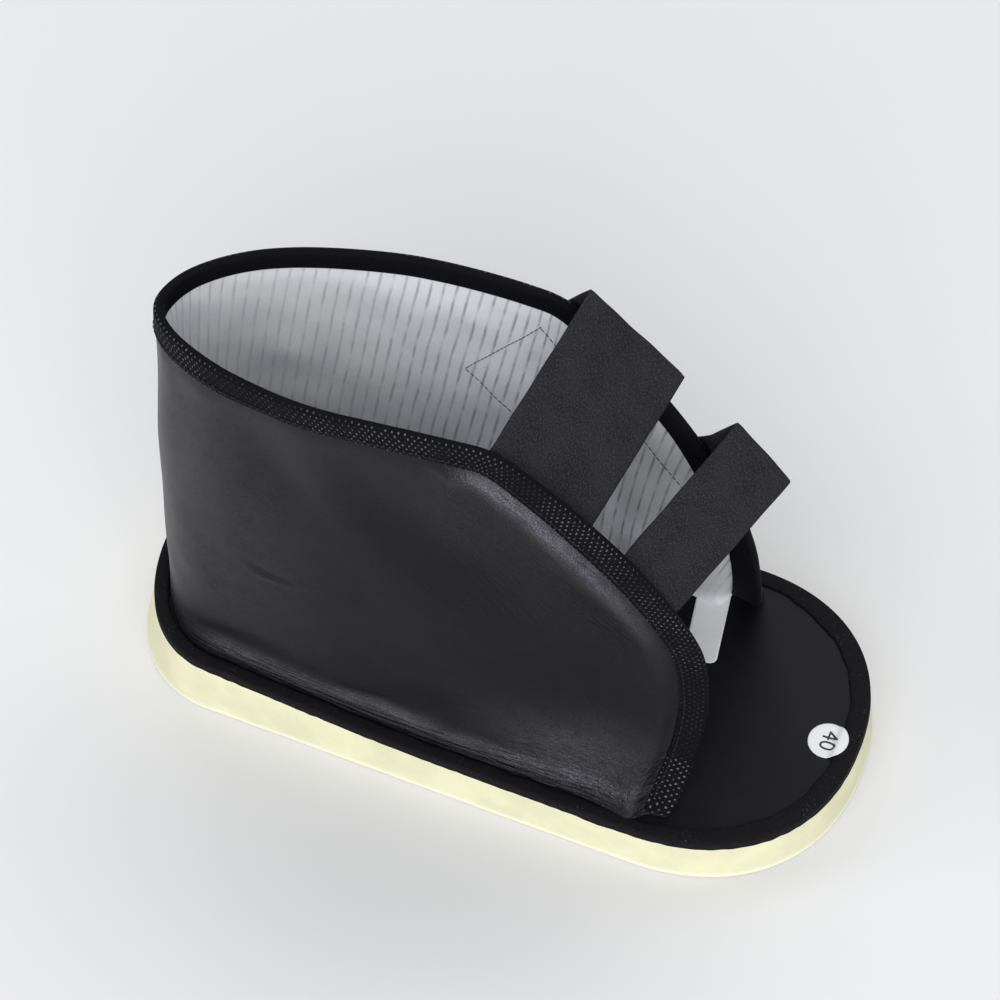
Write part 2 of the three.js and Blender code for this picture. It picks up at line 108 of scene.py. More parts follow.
# Upper: the leather and the lining lie on the two sides of one middle wall
UPPER = {
    "foot_inset": 7.75 * MM,
    "foot_gap": 0.5 * MM,
    "front_draw": 2.3 * MM,
    "draw_start_x": 15 * MM,
    "half_gap": 0.2 * MM,
    "rim_heel_run": 79 * MM,
    "rim_half": 33.4 * MM,
    "rim_power": 1.8,
    "rim_front_x": 80 * MM,
    "rim_front_half": 24 * MM,
    "settle_front": 20 * MM,
    "settle_heel": 300 * MM,
}
HEEL_X = SOLE["heel_x"] + UPPER["foot_inset"]
HEEL_TURN = SOLE["heel_run"] - UPPER["foot_inset"]
# Wall columns from the heel to the front edge: start on the sole (x), end at the rim (x, z)
COLUMN_ROWS = np.array([
    (-114.75, -114.75, 161.1),
    (-107.5, -107.5, 164.3),
    (-88, -88, 168.2),
    (-58, -58, 171.3),
    (-28, -26, 175.7),
    (-4, 0, 177.3),
    (14, 14, 175.6),
    (28, 28, 164.8),
    (40, 43, 149.4),
    (51, 58.9, 129.3),
    (60, 71.5, 106.5),
    (67, 79.3, 86),
    (72, 81.8, 65),
    (75, 80.9, 45),
    (76.3, 77, 23),
]) * MM
FOOT_X, RIM_X, RIM_Z = COLUMN_ROWS.T
TOP_COLUMNS = 12
# Grids of the wall: columns and rows, and how far the rows crowd at the foot
LEATHER_GRID = (340, 130)
LINING_GRID = (340, 100)
ROW_CROWD = 1.35
RIM_SAMPLES = 240
SLOPE_STEP = 0.5 * MM
# Soft dents and rolls of the near wall: x, z, half length, half width (mm), turn (degrees), push (mm)
DENTS = [
    (33, 133, 36, 14, -38, 2.6),
    (4, 116, 52, 18, -38, -4),
    (46, 44, 26, 14, -12, 2.2),
    (-12, 36, 20, 10, 25, -2),
    (-82, 112, 36, 11, 88, 2),
    (-60, 134, 26, 12, -70, -2.2),
]
DENT_FADE = 20 * MM
# Creases of the near wall: start, bend and end (x, z), half width, depth and height of the lower lip (mm)
CREASES = [
    ((-75, 85), (-71, 75), (-57, 81), 1.2, 0.7, 0.5),
    ((-46, 30), (-30, 34), (-14, 29), 2.4, 0.7, 0.5),
    ((-13, 29), (-4, 38), (10, 41), 3.0, 0.8, 0.55),
    ((-102, 33), (-88, 37), (-60, 38), 6.0, 1.3, 0),
]
# Along a crease: samples, share cut off its ends, power of its taper; the lip's distance in half widths
CREASE = {"samples": 25, "cut": 0.04, "taper": 0.7, "lip_off": 1.6}
# Soft noise, added up row by row: height and wavelength (mm), seed
NOISE_WAVES = 9
NOISE_SPREAD = (0.7, 1.4)
LEATHER_NOISE = [(0.2, 52, 3), (0.03, 15, 4)]
LINING_NOISE = [(0.28, 34, 12)]
INSOLE_NOISE = [(0.05, 45, 21)]
TAPE_NOISE = [(0.2, 17, 31), (0.1, 4, 32)]
HEM_NOISE = [(0.2, 6, 33)]
LABEL_NOISE = [(0.05, 14, 51)]
# Upright folds of the leather round the heel and ripples of the lining: height, pitch, and the sway of their
# phase (amount, stretch along the way, wavelength, seed)
FOLDS = {"high": 0.2 * MM, "pitch": 23 * MM, "sway": (2, 0.3, 60 * MM, 5), "reach": 42 * MM}
RIPPLES = {
    "high": 0.16 * MM, "pitch": 13 * MM, "sway": (3, 0.4, 50 * MM, 11),
    "seam": 8 * MM, "rim_from": 6 * MM, "rim_full": 16 * MM,
}
# The far wall is calmer towards the front: share of the waves that it loses, x where this starts and is full
CALM = {"share": 0.7, "from": -60 * MM, "full": -20 * MM}
# Roll of slack leather beside the near binding: x where it starts and ends, fade, height, rise and fall
ROLL = {
    "from": 2 * MM, "to": 62 * MM, "fade": 12 * MM, "high": 3.2 * MM,
    "under": -1 * MM, "rise": 4 * MM, "fall": 11 * MM,
}
# Fullness of the leather low round the heel: way, height above the foot seam, reach of both, height
HEEL_FULL = {"way": -12 * MM, "height": 62 * MM, "round": 36 * MM, "up": 48 * MM, "high": 1.6 * MM}
# Tuck that flares along the foot seam: height, fall with height, x where it fades out
TUCK = {"high": 0.6 * MM, "fall": 5 * MM, "fade_from": 60 * MM, "fade_to": 73 * MM}
# Relief of the leather: deepest place, fade above the foot seam and beside the binding
RELIEF = {"low": -1.1 * MM, "seam": 6 * MM, "rim_from": -6 * MM, "rim_full": 3 * MM}
# Hem of the lining at the far front: it turns in over the insole and covers the label's end
LINING_HEM = {
    "from": 20 * MM, "full": 45 * MM, "turn_in": 5.5 * MM, "height": 9 * MM,
    "lip_from": 9 * MM, "lip_to": 14 * MM,
}
# Places where the leather is stretched and polished, with more gloss, and its colour painted lighter as a
# painted highlight: the roll, the foot seam, low at the front, the heel, and the low front corner that
# stays dull
POLISH_AND_SHEEN = {
    "roll_middle": 2.6 * MM, "roll_half": 3.2 * MM,
    "seam_height": 6 * MM, "seam_half": 4 * MM, "seam_from": -105 * MM, "seam_full": -80 * MM,
    "front_x": 42 * MM, "front_half": 26 * MM, "front_height": 15 * MM, "front_up": 14 * MM,
    "front_share": 0.9,
    "heel_from": 30 * MM, "heel_to": 95 * MM, "heel_share": 0.33, "heel_low": 8 * MM, "heel_full": 26 * MM,
    "corner_from": 54 * MM, "corner_to": 70 * MM, "corner_low": 3 * MM, "corner_high": 14 * MM,
}

# Rim: the binding presses the wall thin within a distance of the rim
BINDING = {
    "thick": 0.75 * MM, "gap": 0.12 * MM, "outer_lip": 8.3 * MM, "inner_lip": 7 * MM, "over": 0.3 * MM,
    "puff": 0.25, "seam_in": 1.4 * MM, "seam_over": 0.2 * MM,
}
RIM_PRESS = {"from": 4 * MM, "to": 14 * MM, "leather": 0.45, "lining": 0.4}
BINDING_STEPS = 520
BINDING_SECTION = {"outer": 12, "fold": 11, "inner": 8}
# The inner lip is wider along the far front edge: share, and distances from the far end
FRONT_LIP = {"wider": 0.3, "from": 130 * MM, "full": 80 * MM}
# Stitches: points along and round one, narrowest end, power of its rounding, share of the pitch; thread sizes
STITCH = {"along": 7, "round": 6, "end": 0.02, "power": 3, "share": 0.86}
THREAD = {"binding": 0.55 * MM, "patch": 0.5 * MM, "lining": 0.4 * MM}
# Middle of the straps off the middle wall, inside the near wall and outside the far wall
STRAP_INSIDE = -2.4 * MM
STRAP_OUTSIDE = 3.75 * MM
# Straps (mm): ridge over the far wall (rear and front end), way from the ridge to the near wall,
# sewn length inside the near wall, and the fastened tail (direction, settling length, length)
STRAPS = {
    "wide": {
        "ridge": ((22, 33.4, 185.3), (52.6, 36, 149.8)),
        "reach": (-10.5, -10),
        "sewn": 30,
        "tail": (-0.6, -0.8),
        "settle": 9,
        "length": 70,
        "patch_start": 29.5,
        "inside_seam": "round",
    },
    "narrow": {
        "ridge": ((72, 33, 137.5), (90.3, 33, 113.2)),
        "reach": (-18.8, -7.4),
        "sewn": 24,
        "tail": (-0.76, -0.65),
        "settle": 12,
        "length": 56,
        "patch_start": 36,
        "inside_seam": "end",
    },
}
STRAP_STEP = 0.8 * MM
STRAP_ACROSS = 28
STRAP_SAMPLES = {"sewn": 24, "bridge": 60, "fold": 10, "laid": 48}
# Bands: share of thickness lost at the edges and how sharply; length, first seed and height of slow waves
BAND = {"edge_loss": 0.75, "edge_power": 14, "wave": 21 * MM, "seed": 41}
STRAP_WAVE = 0.15 * MM
# Patches: middle off the middle wall, thickness, length past the strap, share that the end seam starts behind
PATCH = {"off": 2.45 * MM, "thick": 1 * MM, "past": 9 * MM, "rows": 40, "seam_first": -0.4}
# How far the threads lie off the patch and off the lining
THREAD_OVER = 0.1 * MM
THREAD_UNDER = 0.02 * MM
COOL_GLOSS = (0.9, 0.88, 1.0)
# Turn that lays the near rim's slope level in the leather's UV map
RIM_LEAN = math.radians(-46)
# Lean of the lining's stripes, as a share of the height
STRIPE_LEAN = 0.19
PAPER_GAP = 0.12 * MM
# Label: middle, size, turn in degrees; its upper end is tucked under the lining
LABEL = {
    "x": 62.9 * MM, "y": 30.2 * MM, "width": 11.5 * MM, "length": 32 * MM, "thick": 0.25 * MM,
    "turn": 9.0, "corner": 2.5 * MM, "corner_steps": 8, "steps": 40, "across": 17, "wave": 0.05 * MM,
}
# Sticker: middle, size, where it climbs onto the edge tape, and its print
STICKER = {
    "x": 116.9 * MM, "y": -0.8 * MM, "radius": 6.9 * MM, "thick": 0.15 * MM, "rings": 17, "sides": 64,
    "climb_from": 118.2 * MM, "climb_to": 121 * MM, "digits": 1.15, "ink": 0.02 * MM,
}
INK = (0.02, 0.02, 0.022)
LINING_THREAD = (0.05, 0.052, 0.055)
# Soft boxes of light: place and size (m), brightness
LIGHTS = {
    "high_front": ((0.25, -1.25, 1.6), (2.0, 1.2), 2.4),
    "top_back": ((-0.1, 1.5, 1.9), (2.8, 1.4), 2.2),
    "front_wall": ((0.18, -2.1, 0.61), (1.6, 0.9), 2.3),
    "right_wall": ((1.57, -1.42, 0.61), (1.6, 0.9), 3.1),
    "left_window": ((-1.5, -0.5, 0.9), (0.8, 0.8), 3.4),
}
LIGHT_AIM = Vector((0, 0, 0.06))
SURROUND = {"Color": (0.93, 0.95, 1.0, 1), "Strength": 0.45}
# Camera: sensor width (mm) and clipping (m)
SENSOR = 36
CLIP = (0.05, 50)
# Floor: half side, points along it, distance under the sole, size of its clouds (m)
FLOOR = {"reach": 4.0, "points": 9, "under": 0.2 * MM, "cloud": 0.25}


# Settings that a user would change

def length_property(label, words, default):
    """A length setting, with its default in mm."""
    return FloatProperty(name=label, description=words, default=default * MM, unit="LENGTH")


def angle_property(label, words, default):
    """An angle setting, with its default in degrees."""
    return FloatProperty(
        name=label, description=words, default=math.radians(default), subtype="ANGLE", unit="ROTATION")


def colour_property(label, words, default):
    """A colour setting in linear light."""
    return FloatVectorProperty(
        name=label, description=words, default=default, subtype="COLOR", min=0, max=1)


class CastShoeSizes(bpy.types.PropertyGroup):
    """Thicknesses and pattern sizes of the soft materials."""

    leather: length_property("Leather", "Thickness of the leatherette wall", 1.6)
    lining: length_property("Lining", "Thickness of the lining", 1)
    strap: length_property("Strap", "Thickness of the elastic", 1.2)
    grain: length_property("Grain", "Size of a leather grain cell", 0.9)
    stripe: length_property("Stripe pitch", "Distance between the lining's stripes", 4.1)
    weave: length_property("Weave pitch", "Distance between the binding's raised threads", 2.25)
    stitch: length_property("Stitch pitch", "Distance between stitches", 2.4)
    number: StringProperty(
        name="Number", description="Size number printed on the sticker", default="40")


class CastShoeColours(bpy.types.PropertyGroup):
    """Colours of the materials, in linear light."""

    foam: colour_property("Foam", "Cream foam of the sole", (0.715, 0.70, 0.485))
    rim: colour_property("Foam rim", "Paler cut edge of the foam", (0.85, 0.84, 0.71))
    leather: colour_property("Leather", "Leatherette of the upper", (0.004, 0.004, 0.005))
    insole: colour_property("Insole", "Leatherette of the insole", (0.005, 0.005, 0.006))
    tape: colour_property("Edge tape", "Tape round the sole's edge", (0.005, 0.005, 0.006))
    binding: colour_property("Binding", "Woven tape on the rim", (0.004, 0.004, 0.005))
    # Thread colour; the binding's raised threads are painted in it as painted glints
    thread: colour_property("Thread", "Glints of raised threads", (0.13, 0.13, 0.14))
    lining: colour_property("Lining", "Pale cloth of the lining", (0.87, 0.885, 0.925))
    stripe: colour_property("Stripe", "Stripes of the lining", (0.38, 0.40, 0.455))
    elastic: colour_property("Elastic", "Woven elastic of the straps", (0.0155, 0.015, 0.018))
    white: colour_property("White", "Label and sticker", (0.72, 0.73, 0.73))


class CastShoeStage(bpy.types.PropertyGroup):
    """Camera and floor."""

    azimuth: angle_property("Azimuth", "Camera's turn round the shoe", 23.48)
    elevation: angle_property("Elevation", "Camera's height above the horizon", 56.15)
    roll: angle_property("Roll", "Camera's turn about its own axis", -3.01)
    distance: length_property("Distance", "From the camera to the aim", 1685.85)
    lens: FloatProperty(
        name="Lens", description="Focal length on a 36 mm sensor", default=180, unit="CAMERA")
    aim: FloatVectorProperty(
        name="Aim", description="Point that the angles are measured about",
        default=(2.5 * MM, 0, 47.17 * MM), subtype="XYZ", unit="LENGTH")
    centre: FloatVectorProperty(
        name="Picture centre", description="Picture's centre, right of and above the aim",
        size=2, default=(-3.1 * MM, 32.69 * MM), unit="LENGTH")
    floor: colour_property("Floor", "Pale floor", (0.71, 0.71, 0.71))


# Shape helpers

def smoothstep(x, low, high):
    """0 below low, 1 above high, and a smooth cubic between."""
    t = np.clip((x - low) / (high - low), 0, 1)
    return t * t * (3 - 2 * t)


def bell(off, half):
    """1 in the middle, falling off to both sides as a bell."""
    return np.exp(-((off / half) ** 2))


def joined(*parts):
    """Numbers and arrays, spread to one shape and laid side by side on a last axis."""
    return np.stack(np.broadcast_arrays(*parts), axis=-1)


def unit(vectors):
    """Vectors of length one."""
    return vectors / np.linalg.norm(vectors, axis=-1, keepdims=True)


def soft_noise(u, v, wave, seed):
    """Smooth uneven height from about -1 to 1: sines of about one wavelength in seeded directions, added."""
    rng = np.random.default_rng(seed)
    turn, phase = rng.uniform(0, 2 * np.pi, (2, NOISE_WAVES))
    rate = 2 * np.pi / wave * rng.uniform(*NOISE_SPREAD, NOISE_WAVES)
    along = np.multiply.outer(u, rate * np.cos(turn)) + np.multiply.outer(v, rate * np.sin(turn))
    return np.sin(along + phase).sum(-1) / math.sqrt(NOISE_WAVES)


def noise_sum(u, v, rows):
    """Soft noises added up, one for each row of height (mm), wavelength (mm) and seed."""
    return sum(high * MM * soft_noise(u, v, wave * MM, seed) for high, wave, seed in rows)


def upright_waves(way, z, waves):
    """Sine waves along the way whose phase sways with soft noise."""
    sway, stretch, wave, seed = waves["sway"]
    phase = sway * soft_noise(way * stretch, z, wave, seed)
    return waves["high"] * np.sin(2 * np.pi * way / waves["pitch"] + phase)


def distances_along(points):
    """Length of a line of points from its start to each point."""
    steps = np.linalg.norm(np.diff(points, axis=0), axis=1)
    return np.concatenate([[0], np.cumsum(steps)])


def points_along(at, run, line):
    """Points of a line at lengths along it, where run is the length at each of its own points."""
    return np.stack([np.interp(at, run, line[:, k]) for k in range(3)], axis=-1)


def grid_faces(rows, cols, wrap_rows=False, wrap_cols=False, first=0):
    """Quads of a grid of points that are numbered row by row, joined round where it wraps."""
    i = np.arange(rows if wrap_rows else rows - 1)[:, None]
    j = np.arange(cols if wrap_cols else cols - 1)[None, :]
    low, high = i * cols, (i + 1) % rows * cols
    right = (j + 1) % cols
    quads = np.stack([low + j, low + right, high + right, high + j], axis=-1)
    return quads.reshape(-1, 4) + first


def rim_faces(rows, cols):
    """Quads that join the border of one grid to the border of a second one numbered after it."""
    top = np.arange(cols)
    right = np.arange(1, rows) * cols + cols - 1
    low = (rows - 1) * cols + np.arange(cols - 2, -1, -1)
    left = np.arange(rows - 2, 0, -1) * cols
    ring = np.concatenate([top, right, low, left])
    after = np.roll(ring, -1)
    shift = rows * cols
    return np.stack([after, ring, ring + shift, after + shift], axis=-1)


def border_inside(rows, cols):
    """Row and column numbers round a grid, one step in from its border, closed."""
    low, right = rows - 2, cols - 2
    side, end = np.ones(right - 1, int), np.ones(low - 1, int)
    i = np.concatenate([side, np.arange(1, low), side * low, np.arange(low, 0, -1)])
    j = np.concatenate([np.arange(1, right), end * right, np.arange(right, 1, -1), end, [1]])
    return i, j


def grid_normals(points):
    """Unit normals of a grid of points, from its slopes along rows and columns."""
    return unit(np.cross(np.gradient(points, axis=0), np.gradient(points, axis=1)))


def outward(points, faces):
    """The faces, turned as a whole if their signed volume says that they point inwards."""
    a, b, c, d = (points[faces[:, k]] for k in range(4))
    volume = (a * np.cross(b, c)).sum() + (a * np.cross(c, d)).sum()
    return faces if volume > 0 else faces[:, ::-1]


def add_object(name, data):
    """A new object in the scene."""
    item = bpy.data.objects.new(name, data)
    bpy.context.scene.collection.objects.link(item)
    return item


def ride_on_shoe(name, mesh, material, node=None):
    """A piece of a mesh that rides on the shoe, and replaces a node of the part if one is named."""
    mesh.materials.append(material)
    piece = add_object(name, mesh)
    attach(piece, "root")
    if node:
        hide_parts(node)
    return piece


def make_piece(name, points, faces, uv, material, node=None, merge=False):
    """A closed, smooth-shaded piece, with its own UV map in metres."""
    points = points.reshape(-1, 3)
    mesh = bpy.data.meshes.new(name)
    mesh.from_pydata(points, [], outward(points, faces))
    if uv is not None:
        corner = np.empty(len(mesh.loops), np.int32)
        mesh.loops.foreach_get("vertex_index", corner)
        layer = mesh.uv_layers.new(name="cloth")
        layer.data.foreach_set("uv", uv.reshape(-1, 2)[corner].astype(np.float32).ravel())
    if merge:
        shell = bmesh.new()
        shell.from_mesh(mesh)
        bmesh.ops.remove_doubles(shell, verts=shell.verts, dist=SAME_POINT)
        bmesh.ops.dissolve_degenerate(shell, edges=shell.edges, dist=SAME_POINT)
        shell.to_mesh(mesh)
        shell.free()
    mesh.shade_smooth()
    return ride_on_shoe(name, mesh, material, node)


def sheet_piece(name, outer, inner, uv, material, slot, node):
    """A closed sheet between two grids of points of the same size."""
    rows, cols = outer.shape[:2]
    faces = np.concatenate([
        grid_faces(rows, cols),
        grid_faces(rows, cols, first=rows * cols)[:, ::-1],
        rim_faces(rows, cols),
    ])
    points = np.concatenate([outer.reshape(-1, 3), inner.reshape(-1, 3)])
    return make_piece(name, points, faces, np.concatenate([uv, uv]), material, node)


# Sole shapes

def sole_top(x):
    """Height of the sole's top: level under the forefoot, rising smoothly to the heel."""
    back = SOLE["wedge_x"] - x
    return SOLE["fore_height"] + SOLE["wedge_slope"] * (back + np.hypot(back, SOLE["wedge_round"])) / 2


def insole_top(x):
    """Height of the insole's top."""
    return sole_top(x) + INSOLE_TOP


def outline_half(x, inset):
    """Half width of the sole's outline, drawn in by an inset."""
    half = np.interp(x, (HEEL_CENTRE, TOE_CENTRE), (SOLE["heel_half"], SOLE["toe_half"])) - inset
    behind = (HEEL_CENTRE - x) / (SOLE["heel_run"] - inset)
    ahead = (x - TOE_CENTRE) / (SOLE["toe_run"] - inset)
    past = np.clip(np.maximum(behind, ahead), 0, 1)
    return half * (1 - past ** SOLE["power"]) ** (1 / SOLE["power"])


def outline_stations(inset, kick=0.0):
    """x and half width of an outline from heel to toe: superellipse quarters by angle, straight sides."""
    bend = 2 / SOLE["power"]
    angle = np.linspace(0, np.pi / 2, END_STEPS, endpoint=False)
    far, wide = np.cos(angle) ** bend, np.sin(angle) ** bend
    side = np.linspace(0, 1, SIDE_STEPS + 1)
    x = [
        HEEL_CENTRE - (SOLE["heel_run"] - inset + kick) * far,
        HEEL_CENTRE + (TOE_CENTRE - HEEL_CENTRE) * side,
        (TOE_CENTRE + (SOLE["toe_run"] - inset) * far)[::-1],
    ]
    half = [
        (SOLE["heel_half"] - inset) * wide,
        SOLE["heel_half"] + (SOLE["toe_half"] - SOLE["heel_half"]) * side - inset,
        ((SOLE["toe_half"] - inset) * wide)[::-1],
    ]
    return np.concatenate(x), np.concatenate(half)


def rounding(distance, radius):
    """How far a quarter-round edge draws in at a distance from it."""
    left = np.clip(1 - distance / radius, 0, 1)
    return radius * (1 - np.sqrt(1 - left ** 2))


def slab_piece(name, side_rows, low_z, top_z, edge, across, material, node, relief=()):
    """Board whose cross-section at each station runs up the near side, across the top, down the far
    side and back underneath. side_rows(share) gives the inset and kick at a height share."""
    sides = []
    for t in (1 - np.cos(np.linspace(0, np.pi, SLAB_ROWS))) / 2:
        x, half = outline_stations(*side_rows(t))
        low, top = low_z(x), top_z(x)
        z = low + (top - low) * t
        draw = rounding(z - low, edge) + rounding(top - z, edge)
        sides.append(joined(x, np.maximum(half - draw, 0), z))
    far = np.stack(sides, axis=1)
    near = far * (1, -1, 1)
    mix = np.linspace(0, 1, across + 1)[1:-1, None]
    top = near[:, -1:] * (1 - mix) + far[:, -1:] * mix
    top[..., 2] += noise_sum(top[..., 0], top[..., 1], relief)
    low = far[:, :1] * (1 - mix) + near[:, :1] * mix
    loop = np.concatenate([near, top, far[:, ::-1], low], axis=1)
    faces = grid_faces(*loop.shape[:2], wrap_cols=True)
    return make_piece(name, loop, faces, None, material, node, merge=True)


def outline_loop(inset, lift):
    """Closed loop round an outline, along the near side to the toe and back along the far side."""
    x, half = outline_stations(inset)
    near = joined(x, -half, sole_top(x) + lift)
    return np.concatenate([near, near[-2:0:-1] * (1, -1, 1)])


def tape_profile():
    """Section of the edge tape as (inset, height above the sole's top): up the edge from its hem, round
    a quarter turn, over the lip and back underneath."""
    lip = TAPE["lip"]
    low = INSOLE_TOP + SEAT_GAP
    top = low + TAPE["thick"]
    turn = np.linspace(0, np.pi / 2, TAPE_TURN_STEPS)
    return np.array([
        (TAPE["thick"], SEAT_GAP),
        (-HEM["off"], 0),
        *(joined(1 - np.cos(turn), np.sin(turn) - 1) * TAPE["rounded"] + (0, top)),
        *((share * lip, top + lift * MM) for share, lift in TAPE_ABOVE),
        *((share * lip, low + lift * MM) for share, lift in TAPE_BELOW),
    ])


# Upper shapes: a place on the wall is a way round it (0 at the heel, minus on the near side) and a height

def x_at(way):
    """x of a way: a circle round the heel, then straight on."""
    along = np.abs(way) / HEEL_TURN
    turned = 1 - np.cos(np.minimum(along, np.pi / 2))
    return HEEL_X + HEEL_TURN * (turned + np.maximum(along - np.pi / 2, 0))


def way_at(x):
    """Way of an x on the far side."""
    past = (x - HEEL_X) / HEEL_TURN
    return HEEL_TURN * (np.arccos(1 - np.clip(past, 0, 1)) + np.maximum(past - 1, 0))


def foot_z(x):
    """Height of the wall's lower edge."""
    return insole_top(x) + UPPER["foot_gap"]


def foot_half(x):
    """Half width of the foot line, drawn in a little more towards the front."""
    draw = smoothstep(x, UPPER["draw_start_x"], UPPER["rim_front_x"])
    return outline_half(x, UPPER["foot_inset"]) - UPPER["front_draw"] * draw


def rim_half(x):
    """Half width of the rim: a superellipse heel, then a slow curve in towards the front."""
    widest = HEEL_X + UPPER["rim_heel_run"]
    behind = np.clip((widest - x) / UPPER["rim_heel_run"], 0, 1)
    ahead = np.maximum(x - widest, 0) / (UPPER["rim_front_x"] - widest)
    round_heel = (1 - behind ** UPPER["rim_power"]) ** (1 / UPPER["rim_power"])
    return UPPER["rim_half"] * round_heel - (UPPER["rim_half"] - UPPER["rim_front_half"]) * ahead ** 2


def rim_top(x):
    """Rim height above an x of the open top."""
    return np.interp(x, RIM_X[:TOP_COLUMNS], RIM_Z[:TOP_COLUMNS])


def dent_push(x, z):
    """Sum of turned bell shapes, one for each dent or roll."""
    total = np.zeros_like(x)
    for cx, cz, long, wide, turn, push in DENTS:
        c, s = math.cos(math.radians(turn)), math.sin(math.radians(turn))
        along = (x / MM - cx) * c + (z / MM - cz) * s
        across = (z / MM - cz) * c - (x / MM - cx) * s
        total += push * MM * bell(along, long) * bell(across, wide)
    return total


def wall_half(x, z, near):
    """Half width of the middle wall: it settles from the foot line to the rim line with height,
    quickly at the front and evenly at the heel, and dents push the near side."""
    ahead = (UPPER["rim_front_x"] - x) / (UPPER["rim_front_x"] - HEEL_X)
    settle = UPPER["settle_front"] * (UPPER["settle_heel"] / UPPER["settle_front"]) ** ahead
    low = foot_z(x)
    rise = 1 - np.exp(-(z - low) / settle)
    full = 1 - np.exp(-(rim_top(x) - low) / settle)
    foot = foot_half(x)
    half = foot + (rim_half(x) - foot) * rise / full
    fade = smoothstep(z - low, 0, DENT_FADE) * np.minimum(half / DENT_FADE, 1)
    return half + np.where(near, dent_push(x, z) * fade, 0)


def middle_point(way, z):
    """Point of the middle wall."""
    x = x_at(way)
    return joined(x, np.sign(way) * wall_half(x, z, way < 0), z)


def wall_slopes(way, z):
    """Directions of the wall along the way and up, by central differences."""
    step = SLOPE_STEP
    along = (middle_point(way + step, z) - middle_point(way - step, z)) / (2 * step)
    up = (middle_point(way, z + step) - middle_point(way, z - step)) / (2 * step)
    return along, up


def wall_point(way, z, offset):
    """Point off the middle wall, outwards for a plus offset, by a level step."""
    way, z = np.broadcast_arrays(way, z)
    along, up = wall_slopes(way, z)
    normal = unit(np.cross(up, along))
    level = np.square(normal[..., :2]).sum(-1)
    step = normal * (1, 1, 0) * (offset / level)[..., None]
    return middle_point(way, z) + step


def smooth_row(values, at, sign):
    """Catmull-Rom curve through a table that is mirrored on the near side with a sign."""
    both = np.concatenate([sign * values[:0:-1], values])
    at = at + len(values) - 1
    i = np.clip(np.floor(at).astype(int), 0, len(both) - 2)
    f = at - i
    a, b, c, d = (both[np.clip(i + k, 0, len(both) - 1)] for k in (-1, 0, 1, 2))
    bend = (2 * a - 5 * b + 4 * c - d) * f ** 2 + (3 * b - a - 3 * c + d) * f ** 3
    return b + ((c - a) * f + bend) / 2


def wall_columns(count):
    """Foot way, rim way and rim height of columns, from the near front by the heel to the far front."""
    at = np.linspace(-1, 1, count) * (len(COLUMN_ROWS) - 1)
    return (
        smooth_row(way_at(FOOT_X), at, -1),
        smooth_row(way_at(RIM_X), at, -1),
        smooth_row(RIM_Z, at, 1),
    )


def wall_places(columns, rows):
    """Ways and heights of a grid on the wall, column by column, with rows crowded at the foot."""
    foot, rim, top = (line[:, None] for line in wall_columns(columns))
    t = np.linspace(0, 1, rows) ** ROW_CROWD
    low = foot_z(x_at(foot))
    return foot + (rim - foot) * t, low + (top - low) * t


def crease_depth(x, z):
    """Valleys along quadratic curves, each with a lower lip that rises under it."""
    total = np.zeros_like(x)
    count, cut = CREASE["samples"], CREASE["cut"]
    t = np.linspace(0, 1, count)[:, None]
    for start, bend, end, wide, depth, lip in CREASES:
        line = (1 - t) ** 2 * np.array(start) + 2 * t * (1 - t) * np.array(bend) + t ** 2 * np.array(end)
        dx = x[..., None] / MM - line[:, 0]
        dz = z[..., None] / MM - line[:, 1]
        near = np.hypot(dx, dz)
        k = near.argmin(-1)[..., None]
        off = np.take_along_axis(near, k, -1)[..., 0]
        below = np.take_along_axis(dz, k, -1)[..., 0] < 0
        ends = np.sin(np.pi * np.clip(k[..., 0] / (count - 1), cut, 1 - cut)) ** CREASE["taper"]
        under = bell(off - CREASE["lip_off"] * wide, wide) * below
        total += MM * ends * (lip * under - depth * bell(off, wide))
    return total


def rim_distance(way, z):
    """Distance on the wall from the rim, to the nearest of its sampled places."""
    _, rim, top = wall_columns(RIM_SAMPLES)
    nearest = np.full_like(z, np.inf)
    for rim_way, rim_z in zip(rim, top):
        nearest = np.minimum(nearest, np.hypot(way - rim_way, z - rim_z))
    return nearest


def press(distance, rim_share):
    """Share of a layer's thickness left at a distance from the rim."""
    return rim_share + (1 - rim_share) * smoothstep(distance, RIM_PRESS["from"], RIM_PRESS["to"])


def leather_face(distance, leather):
    """Offset of the leather's plain outer face at a distance from the rim."""
    return UPPER["half_gap"] + leather * press(distance, RIM_PRESS["leather"])


def lining_face(distance, lining):
    """Offset of the lining's plain inner face at a distance from the rim."""
    return -UPPER["half_gap"] - lining * press(distance, RIM_PRESS["lining"])


